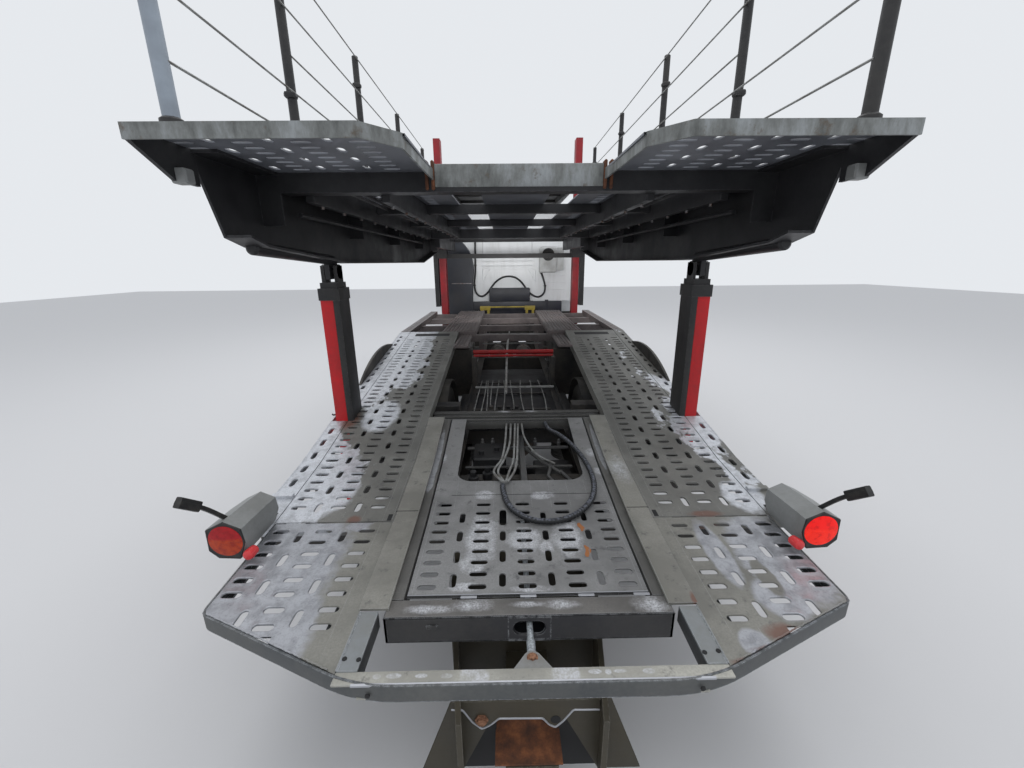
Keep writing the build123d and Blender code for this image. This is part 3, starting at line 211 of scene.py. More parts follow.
def copies(shell, offsets):
    """The same shell at many places, as one shell."""
    points, faces = shell
    offsets = np.asarray(offsets, float).reshape(-1, 3)
    shifts = np.arange(len(offsets)) * len(points)
    moved = (points[None] + offsets[:, None]).reshape(-1, 3)
    return moved, [(f[None] + shifts[:, None, None]).reshape(-1, f.shape[1]) for f in faces]


def mirrored(shell):
    """The shell's mirror image on the other side of the truck."""
    points, faces = shell
    return points * (-1, 1, 1), [polygons[:, ::-1] for polygons in faces]


def both(*shells):
    """Each shell with its mirror image."""
    return [*shells, *[mirrored(shell) for shell in shells]]


def piece(name, shells, finish, body="root", smooth=35):
    """One mesh from closed shells, smooth across edges below an angle, with its finish on,
    riding on a body."""
    points = np.concatenate([p for p, _ in shells])
    starts = np.cumsum([0] + [len(p) for p, _ in shells])
    arrays = [polygons + start for (_, faces), start in zip(shells, starts) for polygons in faces]
    sides = np.concatenate([np.full(len(a), a.shape[1]) for a in arrays])
    loops = np.concatenate([a.ravel() for a in arrays])
    mesh = bpy.data.meshes.new(name)
    mesh.vertices.add(len(points))
    mesh.vertices.foreach_set("co", points.astype(np.float32).ravel())
    mesh.loops.add(len(loops))
    mesh.loops.foreach_set("vertex_index", loops.astype(np.int32))
    mesh.polygons.add(len(sides))
    mesh.polygons.foreach_set("loop_start", (np.cumsum(sides) - sides).astype(np.int32))
    mesh.update(calc_edges=True)
    mesh.polygons.foreach_set("use_smooth", np.ones(len(sides), bool))
    mesh.set_sharp_from_angle(angle=math.radians(smooth))
    mesh.materials.append(finish)
    made = bpy.data.objects.new(name, mesh)
    bpy.context.scene.collection.objects.link(made)
    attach(made, body)
    return made


def dress(finish, *nodes):
    """Gives CAD nodes a finish."""
    for node in nodes:
        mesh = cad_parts[node].data
        mesh.materials.clear()
        mesh.materials.append(finish)


def node_of(tree, kind, inputs=(), **settings):
    """One shader node: settings by name, and inputs as pairs of socket and value or link."""
    made = tree.nodes.new(kind)
    for key, value in settings.items():
        setattr(made, key, value)
    for key, value in inputs:
        if isinstance(value, bpy.types.NodeSocket):
            tree.links.new(value, made.inputs[key])
        else:
            made.inputs[key].default_value = value
    return made


def grain(tree, size, stretch=(1, 1, 1), detail=4, roughness=0.55, offset=(0, 0, 0)):
    """Cloudy noise on the piece's own coordinates, with features of about one size."""
    place = node_of(tree, "ShaderNodeTexCoord").outputs["Object"]
    mapped = node_of(tree, "ShaderNodeMapping",
        [("Vector", place), ("Location", offset), ("Scale", stretch)])
    made = node_of(tree, "ShaderNodeTexNoise",
        [("Vector", mapped.outputs[0]), ("Scale", 1 / size), ("Detail", detail), ("Roughness", roughness)])
    return made.outputs["Fac"]


def ramp(tree, factor, *stops):
    """A value or colour read from stops of place and value or colour."""
    made = node_of(tree, "ShaderNodeValToRGB", [("Fac", factor)])
    elements = made.color_ramp.elements
    while len(elements) < len(stops):
        elements.new(0.5)
    for element, (place, value) in zip(elements, stops):
        element.position = place
        element.color = (*value, 1) if hasattr(value, "__len__") else (value, value, value, 1)
    return made.outputs["Color"]


def blended(tree, factor, first, second):
    """A mix of two colours."""
    made = node_of(tree, "ShaderNodeMix", data_type="RGBA")
    for key, value in ((0, factor), (6, first), (7, second)):
        if isinstance(value, bpy.types.NodeSocket):
            tree.links.new(value, made.inputs[key])
        elif hasattr(value, "__len__"):
            made.inputs[key].default_value = (*value, 1)
        else:
            made.inputs[key].default_value = value
    return made.outputs[2]


def maths(tree, operation, first, second=0.0):
    """A sum, product or other step on two values."""
    made = node_of(tree, "ShaderNodeMath", [(0, first), (1, second)], operation=operation)
    return made.outputs[0]


def total(tree, first, second):
    """The sum of two values."""
    return maths(tree, "ADD", first, second)


def product(tree, first, second):
    """One value times another."""
    return maths(tree, "MULTIPLY", first, second)


def new_finish(name, **fixed):
    """A new finish with plain values on its surface shader, and its node tree."""
    made = bpy.data.materials.new(name)
    made.use_nodes = True
    shader = made.node_tree.nodes["Principled BSDF"]
    for key, value in fixed.items():
        shader.inputs[key.replace("_", " ")].default_value = value
    return made, made.node_tree


def lay(tree, relief=None, depth=0.001, **links):
    """Joins colour, roughness and metal to the surface shader, and relief as bump in metres."""
    shader = tree.nodes["Principled BSDF"]
    for key, value in links.items():
        tree.links.new(value, shader.inputs[key.replace("_", " ")])
    if relief is not None:
        bump = node_of(tree, "ShaderNodeBump", [("Height", relief), ("Distance", depth)])
        tree.links.new(bump.outputs[0], shader.inputs["Normal"])


def clouded(name, size, stops, relief=None, rough=None, detail=4, **fixed):
    """A finish whose colour is read from clouds of one size and its roughness from clouds of
    another, both between given stops, with relief of a size and depth."""
    made, tree = new_finish(name, **fixed)
    links = {"Base_Color": ramp(tree, grain(tree, size, detail=detail), *stops)}
    if rough:
        links["Roughness"] = ramp(tree, grain(tree, rough[0]), *rough[1:])
    bump, depth = (grain(tree, relief[0]), relief[1]) if relief else (None, 0.0)
    lay(tree, bump, depth, **links)
    return made


def worn_edges(tree, radius):
    """Where the surface turns sharply: the normal of a rounded copy of the edges against
    the real normal, from 0 on a flat to 1 on an edge."""
    soft = node_of(tree, "ShaderNodeBevel", [("Radius", radius)], samples=4)
    normal = node_of(tree, "ShaderNodeNewGeometry").outputs["Normal"]
    level = node_of(tree, "ShaderNodeVectorMath", [(0, soft.outputs[0]), (1, normal)],
        operation="DOT_PRODUCT")
    return ramp(tree, level.outputs["Value"], (0.8, 1.0), (0.97, 0.0))


def steel_paint(name, dark, film, chip, wear=0.5):
    """Dull paint on steel: a dark coat, a film of road dirt in clouds, and chips on edges."""
    made, tree = new_finish(name, Specular_IOR_Level=0.4)
    clouds = grain(tree, 0.35, detail=6, roughness=0.65)
    specks = grain(tree, 0.02, detail=5, roughness=0.7, offset=(3, 1, 2))
    dirt = ramp(tree, total(tree, clouds, product(tree, specks, 0.3)), (0.52, 0.0), (0.86, 1.0))
    coat = blended(tree, dirt, dark, film)
    chips = product(tree, worn_edges(tree, 0.006), ramp(tree, specks, (0.42, 0.0), (0.56, wear)))
    lay(tree, specks, 0.0006, Base_Color=blended(tree, chips, coat, chip),
        Roughness=ramp(tree, clouds, (0.3, 0.32), (0.7, 0.66)))
    return made


rail_outer = 0.43
rail_web = (0.6, 0.85)
rivet_radius = 0.011
rivet_pitch = 0.06
frame_paint = steel_paint("frame_paint", (0.018, 0.018, 0.02), (0.075, 0.066, 0.055), (0.22, 0.2, 0.18))
dress(frame_paint, "chassis_frame")
rail_joints = np.array([1.33, 2.23, 3.43, 4.63, 5.73, 6.93])
rivet = turned([(0, rivet_radius), (0.004, rivet_radius), (0.008, rivet_radius * 0.6)], (rail_outer, 0, 0),
    (1, 0, 0), 8)
rivet_heights = np.linspace(rail_web[0] + 0.045, rail_web[1] - 0.045, 4)
rivet_places = [(0, at(joint) + step, height) for joint in rail_joints
    for step in (-rivet_pitch / 2, rivet_pitch / 2) for height in rivet_heights]
piece("rail_rivets", both(copies(rivet, rivet_places)), frame_paint)

# Axles and springs
# The front axle is a forged beam between two kingpins, on leaf springs. The rear one is a tube
# with the final drive in its middle, on air bellows. Oil and road dust cover both.
cast_iron = steel_paint("cast_iron", (0.03, 0.027, 0.025), (0.095, 0.075, 0.055), (0.16, 0.14, 0.12))
dress(cast_iron, "front_axle", "rear_axle", "knuckle_left", "knuckle_right", "engine_block")
axle_height = 0.475
front_axle_y = at(7.56)
rear_axle_y = at(2.77)

leaf_half_width = 0.038
leaf_offset = 0.39
leaf_bend = np.array([(6.86, 0.59), (7.2, 0.52), (7.48, 0.482), (7.64, 0.482), (7.92, 0.52), (8.26, 0.59)])
leaves = []
for layer in range(4):
    reach = np.linspace(layer * 0.12, 1 - layer * 0.12, 24) * 1.4 + 6.86
    height = np.interp(reach, leaf_bend[:, 0], leaf_bend[:, 1]) - 0.0265 - 0.013 * layer
    line = np.column_stack([np.full(24, leaf_offset), at(reach), height])
    section = ring_of(rectangle((-leaf_half_width, -0.006), (leaf_half_width, 0.006)), 0.004)
    leaves.append(swept(section, line))
clamp_half = 0.009
clamp_bolts = [beam((x - clamp_half, front_axle_y + step - clamp_half, 0.4),
        (x + clamp_half, front_axle_y + step + clamp_half, 0.52), 0.006)
    for x in (leaf_offset - 0.045, leaf_offset + 0.045) for step in (-0.06, 0.06)]
piece("leaf_springs", both(*leaves, *clamp_bolts), cast_iron)

bellows_rings = 5
bellows_x = 0.425
turns = np.linspace(0, 1, 41)
bellows_profile = np.column_stack([0.43 + 0.165 * turns,
        0.108 + 0.01 * np.abs(np.sin(np.pi * turns * bellows_rings))])
rubber = clouded("bellows_rubber", 0.2, [(0.4, (0.02, 0.02, 0.02)), (0.75, (0.085, 0.075, 0.062))],
    (0.01, 0.0004), Roughness=0.75)
piece("air_bellows",
    both(*[turned(bellows_profile, (bellows_x, at(station), 0), (0, 0, 1), 40)
            for station in (2.41, 3.13)]), rubber)

chamber = [(0, 0.03), (0.01, 0.075), (0.07, 0.085), (0.075, 0.092), (0.085, 0.092), (0.09, 0.085),
    (0.15, 0.078), (0.165, 0.04)]
chambers = [turned(chamber, (x, y, z), (0, direction, 0.15), 28)
    for x, y, z, direction in ((0.56, rear_axle_y + 0.09, 0.6, 1), (0.555, front_axle_y - 0.12, 0.6, -1))]
piece("brake_chambers", both(*chambers), frame_paint)

# Wheels
# Six 22.5 inch wheels. Each tyre is ribbed rubber with notched shoulders, grey with road dust.
# Each rim is a pressed steel barrel with a disc that has ten round hand holes and ten nuts.
tyre_low, tyre_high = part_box("front_tyre_right")
tyre_radius = (tyre_high.z - tyre_low.z) / 2
front_offset = (tyre_low.x + tyre_high.x) / 2
twin_low, twin_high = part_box("rear_tyres_right")
outer_offset, inner_offset = twin_high.x - 0.15, twin_low.x + 0.15
twin_middle = (outer_offset + inner_offset) / 2
tread_half, tread_depth = 0.124, 0.011
tread_grooves = np.array([-0.075, -0.025, 0.025, 0.075])
groove_half = 0.0055
shoulder_notches = 54
sidewall = [(0.133, 0.4665), (0.143, 0.45), (0.1485, 0.425), (0.15, 0.395), (0.147, 0.365), (0.138, 0.335),
    (0.125, 0.312), (0.116, 0.299), (0.113, 0.287)]


def tyre(offset, y):
    """A tyre over two parameters, the angle round the axle and the place along the section.
    Its radius is the section's, less the grooves' depth in the tread, and less the notches'
    depth near the shoulders for a part of each notch's angle."""
    across = np.linspace(-tread_half, tread_half, 61)
    crown = tyre_radius - 0.005 * (across / tread_half) ** 2
    in_groove = np.abs(across[:, None] - tread_grooves).min(axis=1) < groove_half
    side = np.array(sidewall)
    section = np.concatenate([np.column_stack([across, crown - tread_depth * in_groove]), side,
            side[::-1] * (-1, 1)])
    spin = np.linspace(0, 2 * np.pi, 324, endpoint=False)
    share = (spin * shoulder_notches / (2 * np.pi)) % 1.0
    on_shoulder = (np.abs(section[:, 0]) > 0.092) & (section[:, 1] > 0.455)
    cut = 0.009 * on_shoulder[None] * (share < 0.3)[:, None]
    radius = section[None, :, 1] - cut
    return looped(np.stack([np.broadcast_to(offset + section[:, 0], radius.shape),
                y + radius * np.sin(spin)[:, None], axle_height - radius * np.cos(spin)[:, None]], axis=-1))


tyre_rubber, tree = new_finish("tyre_rubber", Specular_IOR_Level=0.3)
dust = grain(tree, 0.16, detail=7, roughness=0.7)
lay(tree, grain(tree, 0.006), 0.0004,
    Base_Color=ramp(tree, dust, (0.35, (0.016, 0.016, 0.017)), (0.62, (0.05, 0.047, 0.042)),
        (0.8, (0.125, 0.113, 0.095))), Roughness=ramp(tree, dust, (0.3, 0.62), (0.7, 0.9)))

barrel = [(-0.126, 0.296), (-0.122, 0.3015), (-0.116, 0.299), (-0.113, 0.2855), (-0.06, 0.283),
    (-0.045, 0.262), (0.02, 0.262), (0.035, 0.283), (0.113, 0.2855), (0.116, 0.299), (0.122, 0.3015),
    (0.126, 0.296), (0.12, 0.289), (0.112, 0.279), (0.036, 0.276), (0.022, 0.255), (-0.047, 0.255),
    (-0.06, 0.276), (-0.112, 0.279), (-0.12, 0.289)]
hole_count, hole_diameter = 10, 0.05
hole_radius_line = 0.222
nut_count, nut_radius_line = 10, 0.1675


def stadium_cells(centres, half, slot, along, rim, thickness, steps):
    """Cells of a plate in u and v, each with one round-ended slot, or a round hole where the
    slot is as long as it is wide. A point on the cell's edge looks at the nearest point of the
    slot's middle line, and each ring lies out from there at the slot's half width plus its own
    distance, and at its own height."""
    side, one = np.linspace(-1, 1, steps, endpoint=False), np.ones(steps)
    edge = np.concatenate([np.stack(pair, axis=1)
            for pair in ((side, -one), (one, side), (-side, one), (-one, -side))]) * half
    core = (slot[0] - slot[1]) / 2
    reach = np.array((0, core) if along else (core, 0))
    middle = np.clip(edge, -reach, reach)
    away = (edge - middle) / np.linalg.norm(edge - middle, axis=1)[:, None]
    levels = [*rim, (0.0, -thickness)]
    flat = [edge] + [middle + away * (slot[1] / 2 + out) for out, _ in levels] + [edge]
    heights = [0.0] + [rise for _, rise in levels] + [-thickness]
    ring = np.stack([np.column_stack([f, np.full(len(f), h)]) for f, h in zip(flat, heights)])
    lift = np.column_stack([centres, np.zeros(len(centres))])
    return copies(patch(ring, around=True), lift)


def wheel_turned(profile, offset, y, side, steps, hollow=False):
    """A profile of depth and radius turned about a wheel's axle, with its face to one side."""
    return turned(np.array(profile) * (side, 1), (offset, y, axle_height), (1, 0, 0), steps, hollow)


def wheel_disc(depth_of, offset, y, side):
    """A pressed disc: a ring of hand-hole cells in angle and radius, bent onto circles, between
    two plain rings. The depth along the axle depends on the radius alone."""
    pitch = 2 * np.pi / hole_count * hole_radius_line
    centres = np.column_stack([(np.arange(hole_count) + 0.5) * pitch,
            np.full(hole_count, hole_radius_line)])
    points, faces = stadium_cells(centres, np.array([pitch / 2, 0.033]), (hole_diameter, hole_diameter),
        False, [(0.006, 0.0), (0.001, -0.002)], 0.01, 6)
    angle = points[:, 0] / hole_radius_line
    bent = np.column_stack([offset + side * (depth_of(points[:, 1]) + points[:, 2]),
            y + points[:, 1] * np.cos(angle), axle_height + points[:, 1] * np.sin(angle)])
    rings = []
    for inner, outer in ((0.086, hole_radius_line - 0.033), (hole_radius_line + 0.033, 0.2625)):
        radii = np.linspace(inner, outer, 9)
        face = np.column_stack([depth_of(radii), radii])
        back = face[::-1] - (0.01, 0)
        rings.append(wheel_turned(np.concatenate([face, back]), offset, y, side, 60, True))
    return [outward(bent, faces), *rings]


def wheel_nuts(depth, offset, y, side, radius_line=nut_radius_line, count=nut_count, size=0.016):
    """Hexagon nuts on washers, with the stud's end standing out, evenly round the hub."""
    nut = turned([(0, size * 1.25), (side * 0.004, size * 1.2), (side * 0.0045, size), (side * 0.022, size),
            (side * 0.024, size * 0.75)], (0, 0, 0), (1, 0, 0), 6)
    stud = turned([(0, 0.009), (side * 0.036, 0.009), (side * 0.038, 0.007)], (0, 0, 0), (1, 0, 0), 10)
    turn = (np.arange(count) + 0.25) * 2 * np.pi / count
    places = np.column_stack([np.full(count, offset + side * depth), y + radius_line * np.cos(turn),
            axle_height + radius_line * np.sin(turn)])
    return [copies(nut, places), copies(stud, places)]


rim_metal = steel_paint("rim_steel", (0.36, 0.36, 0.37), (0.12, 0.105, 0.088), (0.42, 0.4, 0.38), 0.3)
nut_metal = clouded("nut_steel", 0.03, [(0.4, (0.3, 0.3, 0.31)), (0.7, (0.16, 0.1, 0.07))],
    rough=(0.05, (0.3, 0.3), (0.7, 0.6)), Metallic=0.8)
front_depth = lambda r: np.interp(r, [0.086, 0.19, 0.205, 0.245, 0.2625],
    [0.084, 0.088, 0.098, 0.092, 0.04])
twin_depth = lambda r: np.interp(r, [0.086, 0.19, 0.235, 0.2625], [0.012, 0.012, 0.04, 0.11])
front_hub = [(0.06, 0.115), (0.094, 0.112), (0.098, 0.088), (0.118, 0.082), (0.124, 0.07), (0.126, 0.02)]
twin_hub = [(0.0, 0.125), (0.03, 0.12), (0.034, 0.108), (0.2, 0.098), (0.222, 0.082), (0.238, 0.078),
    (0.248, 0.05)]
for side, hand in ((1, "right"), (-1, "left")):
    centre = side * front_offset
    piece(f"front_tyre_{hand}.tread", [tyre(centre, front_axle_y)], tyre_rubber,
        f"wheel_front_{hand}")
    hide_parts(f"front_tyre_{hand}")
    made = piece(f"front_rim_{hand}.disc",
        [wheel_turned(barrel, centre, front_axle_y, side, 72, True),
            *wheel_disc(front_depth, centre, front_axle_y, side),
            wheel_turned(front_hub, centre, front_axle_y, side, 40)], rim_metal,
        f"wheel_front_{hand}")
    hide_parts(f"front_rim_{hand}")
    piece(f"front_nuts_{hand}", wheel_nuts(0.087, centre, front_axle_y, side), nut_metal,
        f"wheel_front_{hand}")
    tyres = piece(f"rear_tyres_{hand}.tread",
        [tyre(side * outer_offset, rear_axle_y), tyre(side * inner_offset, rear_axle_y)], tyre_rubber,
        f"wheel_rear_{hand}")
    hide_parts(f"rear_tyres_{hand}")
    twin = side * twin_middle
    made = piece(f"rear_rims_{hand}.disc",
        [wheel_turned(barrel, side * outer_offset, rear_axle_y, -side, 72, True),
            wheel_turned(barrel, side * inner_offset, rear_axle_y, side, 72, True),
            *wheel_disc(twin_depth, twin, rear_axle_y, side),
            *wheel_disc(twin_depth, twin, rear_axle_y, -side),
            wheel_turned(twin_hub, twin, rear_axle_y, side, 40),
            wheel_turned([(-0.13, 0.11), (0.0, 0.11)], twin, rear_axle_y, side, 40)], rim_metal,
        f"wheel_rear_{hand}")
    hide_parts(f"rear_rims_{hand}")
    piece(f"rear_nuts_{hand}",
        [*wheel_nuts(0.013, twin, rear_axle_y, side),
            *wheel_nuts(0.246, twin, rear_axle_y, side, 0.06, 8, 0.008)], nut_metal,
        f"wheel_rear_{hand}")

# Mudguards and wings
# Thin black arches over the wheels, with hanging flaps of ribbed rubber behind the rear ones.
guard_plastic = clouded("guard_plastic", 0.3, [(0.35, (0.02, 0.02, 0.021)), (0.7, (0.085, 0.078, 0.068))],
    (0.004, 0.0003), (0.2, (0.3, 0.45), (0.7, 0.8)), 7, Specular_IOR_Level=0.35)
dress(guard_plastic, "front_wings", "rear_mudguards")

# Tank, tool box and side guards
# A brushed alloy fuel tank with two strapped bands on the left, a grey plastic tool box on the
# right, and alloy guard rails that close the gaps between the wheels.
tank_alloy, tree = new_finish("tank_alloy", Metallic=0.85)
lines = grain(tree, 0.004, stretch=(1, 0.02, 1), detail=2)
film = grain(tree, 0.25, detail=7, roughness=0.7)
lay(tree, lines, 0.0002,
    Base_Color=ramp(tree, film, (0.4, (0.42, 0.42, 0.43)), (0.75, (0.17, 0.155, 0.135))),
    Roughness=ramp(tree, film, (0.35, 0.28), (0.7, 0.62)))
dress(tank_alloy, "fuel_tank", "side_guards")
tank_low, tank_high = (-1.22, 0.4), (-0.56, 0.98)
strap_ring = ring_of(rectangle(tank_low, tank_high, 0.006), 0.14, 9)


def band(outline, middle, width, thickness):
    """A flat band round a closed outline of x and height, at one station: the outline and a
    copy drawn in by the thickness, each at both edges of the band's width."""
    centre = outline.mean(axis=0)
    inner = centre + (outline - centre) * (1 - thickness / np.abs(outline - centre).max())
    corners = ((outline, -width / 2), (outline, width / 2), (inner, width / 2), (inner, -width / 2))
    return looped([upright(flat, middle + y) for flat, y in corners])


tank_straps = [band(strap_ring, at(station), 0.045, 0.004) for station in (4.5, 5.3)]
cap = turned([(0, 0.052), (0.018, 0.055), (0.03, 0.05), (0.034, 0.03)],
    (-1.05, at(4.95), tank_high[1] - 0.004), (0, 0, 1), 24)
piece("tank_straps", [*tank_straps, cap], frame_paint)

box_plastic = clouded("box_plastic", 0.3, [(0.35, (0.045, 0.046, 0.048)), (0.7, (0.11, 0.1, 0.088))],
    (0.003, 0.0003), (0.2, (0.3, 0.5), (0.7, 0.8)), 7, Specular_IOR_Level=0.35)
dress(box_plastic, "tool_box")
lid_face = 1.22
box_lids = [bar((lid_face - 0.004, low, 0.46), (lid_face + 0.014, high, 0.94), 0.008)
    for low, high in ((4.24, 4.88), (4.92, 5.56))]
box_catches = [beam((lid_face + 0.01, at(s) - 0.03, 0.86), (lid_face + 0.022, at(s) + 0.03, 0.9), 0.006)
    for s in (4.4, 4.72, 5.08, 5.4)]
piece("tool_box_lids", box_lids, box_plastic)
piece("tool_box_catches", box_catches, nut_metal)

# Lower wheel tracks
# Two long galvanised tracks of pressed slots, in columns across and along, that climb towards
# the cab. A seam and a narrow column of slots run along each outer edge. They are wet and
# dirty: water shines in ragged bright patches, mostly on the outer half, over olive-grey zinc;
# the shine is painted into the colour as a reflection of the sky.


def apart(tree):
    """The piece's own coordinates, one by one."""
    place = node_of(tree, "ShaderNodeTexCoord").outputs["Object"]
    return node_of(tree, "ShaderNodeSeparateXYZ", [(0, place)]).outputs


def blot(tree, x, station, half_x, half_y, ragged=0.5, soft=0.06):
    """A ragged patch round a place in plan: the distance from it in half widths, upset by
    noise, and cut off where it passes one."""
    y = at(station)
    place = node_of(tree, "ShaderNodeTexCoord").outputs["Object"]
    scaled = node_of(tree, "ShaderNodeMapping",
        [("Vector", place), ("Location", (-x / half_x, -y / half_y, 0)),
            ("Scale", (1 / half_x, 1 / half_y, 0))])
    distance = node_of(tree, "ShaderNodeVectorMath", [(0, scaled.outputs[0])], operation="LENGTH")
    noise = grain(tree, 0.05, detail=5, roughness=0.62, offset=(8 * x, 5 * station, 1))
    upset = maths(tree, "MULTIPLY_ADD", noise, ragged)
    upset.node.inputs[2].default_value = -ragged / 2
    level = product(tree, total(tree, distance.outputs["Value"], upset), 0.5)
    return ramp(tree, level, (0.5 - soft, 1.0), (0.5 + soft, 0.0))


def blots(tree, places, **shape):
    """Where any of several ragged patches lies."""
    cover = 0.0
    for place in places:
        cover = maths(tree, "MAXIMUM", blot(tree, *place, **shape), cover)
    return cover


def deck_finish(name, shine, dry=(0.2, 0.198, 0.182), film_offset=(0, 0, 0), bias=0.0, right_bias=-0.1,
        wets=(), dries=(), chalks=(), rusts=(), chalk_edge=(1.5, 0.3)):
    """Worn zinc. Wet is a noise level that rises towards the truck's outer edge, cut off
    sharply, with ragged patches added and taken away, and where it is wet the colour is a painted
    reflection of the sky, pale and bluish; chalk and rust are ragged patches; dirt, stains and
    bright slot edges come from finer noise and from the edges themselves."""
    made, tree = new_finish(name, Specular_IOR_Level=0.5)
    clouds = grain(tree, 0.3, detail=6, roughness=0.62, offset=(2, 5, 1))
    spots = grain(tree, 0.05, detail=6, roughness=0.7, offset=(7, 1, 4))
    specks = grain(tree, 0.007, detail=3, roughness=0.6)
    x, y, z = apart(tree)
    reach = maths(tree, "ABSOLUTE", x)
    outer = node_of(tree, "ShaderNodeMapRange", [(0, reach), (1, 0.6), (2, 1.15)]).outputs[0]
    on_right = product(tree, maths(tree, "GREATER_THAN", x, 0.0), right_bias)
    film = grain(tree, 0.5, stretch=(1, 0.6, 1), detail=8, roughness=0.6, offset=film_offset)
    level = total(tree, film, product(tree, outer, 0.3))
    level = total(tree, level, total(tree, on_right, bias))
    wet = ramp(tree, level, (0.672, 0.0), (0.69, 1.0))
    wet = maths(tree, "MAXIMUM", wet, blots(tree, wets))
    wet = product(tree, wet, maths(tree, "SUBTRACT", 1.0, blots(tree, dries)))
    dark = tuple(0.62 * value for value in dry)
    dusty = tuple(0.84 * value for value in dry)
    zinc = blended(tree, ramp(tree, specks, (0.4, 0.0), (0.62, 1.0)), dusty, dry)
    zinc = blended(tree, ramp(tree, clouds, (0.42, 0.0), (0.6, 0.9)), zinc, dark)
    zinc = blended(tree, ramp(tree, spots, (0.58, 0.0), (0.72, 0.7)), zinc, (0.045, 0.046, 0.05))
    # Where it is wet, the colour is a painted reflection of the pale sky in the water, lighter than the
    # zinc itself.
    painted_wet_reflection = blended(tree, ramp(tree, spots, (0.44, 0.0), (0.64, 0.75)), shine,
        tuple(0.58 * value for value in shine))
    painted_wet_reflection = blended(tree, ramp(tree, specks, (0.52, 0.0), (0.68, 0.35)), painted_wet_reflection,
        (0.16, 0.16, 0.17))
    colour = blended(tree, wet, zinc, painted_wet_reflection)
    powder = product(tree, ramp(tree, spots, (0.36, 0.25), (0.56, 1.0)),
        ramp(tree, specks, (0.36, 0.35), (0.6, 0.95)))
    colour = blended(tree,
        product(tree, blots(tree, chalks, ragged=chalk_edge[0], soft=chalk_edge[1]), powder), colour,
        (0.55, 0.56, 0.59))
    colour = blended(tree, product(tree, blots(tree, rusts, ragged=1.0, soft=0.16), 0.85), colour,
        (0.155, 0.072, 0.05))
    bright = product(tree, worn_edges(tree, 0.0025), 0.55)
    lay(tree, total(tree, specks, product(tree, spots, 1.5)), 0.0005,
        Base_Color=blended(tree, bright, colour, (0.48, 0.49, 0.51)), Metallic=product(tree, wet, 0.3),
        Roughness=total(tree, ramp(tree, wet, (0, 0.44), (1, 0.26)), product(tree, specks, 0.2)))
    return made


slot_length, slot_width = 0.072, 0.027
slot_pitch = 0.0722
column_half = 0.0485
column_centres = [(0.7115, "across"), (0.8085, "along"), (0.9055, "across"), (1.0025, "along"),
    (1.0995, "across")]
pressed_rim = [(0.0085, 0.0), (0.0048, 0.0016), (0.0016, 0.001), (0.0, -0.001), (-0.0004, -0.0045)]


def plain_strip(left, right, low, high, thickness, rows=()):
    """A strip of plate without slots between two ends that may slant: its top and underside
    with rows at the given v, and its two end walls."""
    low, high = np.broadcast_to(low, 2), np.broadcast_to(high, 2)

    def line(share):
        inside = [v for v in rows if max(low) < v < min(high)]
        v = np.array([low[share], *inside, high[share]])
        return np.column_stack([np.full(len(v), (left, right)[share]), v, np.zeros(len(v))])
    top = np.stack([line(0), line(1)], axis=1)
    ring = np.concatenate([top, top[:, ::-1] - (0, 0, thickness)], axis=1)
    return patch(ring, around=True)


def slotted_column(centre, kind, low, high, rim, thickness, rows, steps, pitch, start, slots,
        half=column_half):
    """One column of a plate: plain up to a first row, then a count of slots a pitch apart,
    or a double pitch for slots along the plate, then plain to the far end."""
    left, right = centre - half, centre + half
    pitch = 2 * pitch if kind == "along" else pitch
    middles = np.column_stack([np.full(slots, centre), start + (np.arange(slots) + 0.5) * pitch])
    cells = stadium_cells(middles, np.array([half, pitch / 2]), (slot_length, slot_width), kind == "along",
        rim, thickness, steps)
    end = start + slots * pitch
    ends_low, ends_high = low(np.array([left, right])), high(np.array([left, right]))
    shells = [cells, plain_strip(left, right, end, ends_high, thickness, rows)]
    if ends_low.max() < start:
        shells.append(plain_strip(left, right, ends_low, start, thickness, rows))
    return shells


def one_plate(shells):
    """Several shells of one plate, as one."""
    points = np.concatenate([p for p, _ in shells])
    starts = np.cumsum([0] + [len(p) for p, _ in shells])
    return points, [f + start for (_, arrays), start in zip(shells, starts) for f in arrays]


def placed(plate, height_of, turn_side=1):
    """A plate's u, v and rise put into the truck: u is the distance from the centreline, v
    the station, and the rise is added to the deck's height at that station."""
    points, faces = plate
    u, v, rise = points.T
    return outward(np.column_stack([turn_side * u, at(v), height_of(v) + rise]), faces)


def deck_line(station):
    """The height of the lower deck's top at a station."""
    return np.interp(station, [0.78, 1.3, 1.906, 3.866], [0.888, 0.935, 1.037, 1.29])


def strip(u_low, u_high, stations, line, depth, side=1):
    """A flat strip on edge or on its back: a rectangle carried along stations, its top on a
    line of heights."""
    stations = np.asarray(stations, float)
    top = line(stations)
    corners = [(u_low, 0.0), (u_high, 0.0), (u_high, -depth), (u_low, -depth)]
    rings = np.stack([np.column_stack([np.full(len(stations), side * u), at(stations), top + drop])
            for u, drop in corners], axis=1)
    return tube(rings)


track_bends = [0.78, 1.3, 1.906, 3.15, 3.866]
track_ends = (0.782, 3.866)
track_plate, edge_depth = 0.008, 0.07
track_start = 0.859
outer_columns = {"rear": (0.782, 1.775, 1.043, 5), "front": (1.957, 3.866, 1.988, 13)}
outer_centre, outer_half, outer_pitch = 1.226, 0.0408, 0.0675
post_gap = (1.775, 1.957)
# The first colour given is the painted sky reflection on the wet places.
track_steel = deck_finish("track_zinc", (0.6, 0.62, 0.66), film_offset=(9, 3, 6),
    wets=[(-1.1, 1.1, 0.2, 0.34), (-0.98, 1.02, 0.12, 0.18), (-0.95, 1.85, 0.12, 0.22),
        (1.12, 0.93, 0.1, 0.13)], dries=[(-0.7, 1.3, 0.1, 0.6), (0.68, 1.3, 0.1, 0.7)],
    rusts=[(0.87, 0.8, 0.07, 0.022), (-0.8, 0.8, 0.03, 0.03), (-1.14, 1.78, 0.05, 0.1)])
level_at = lambda value: (lambda u: np.full(len(u), value))
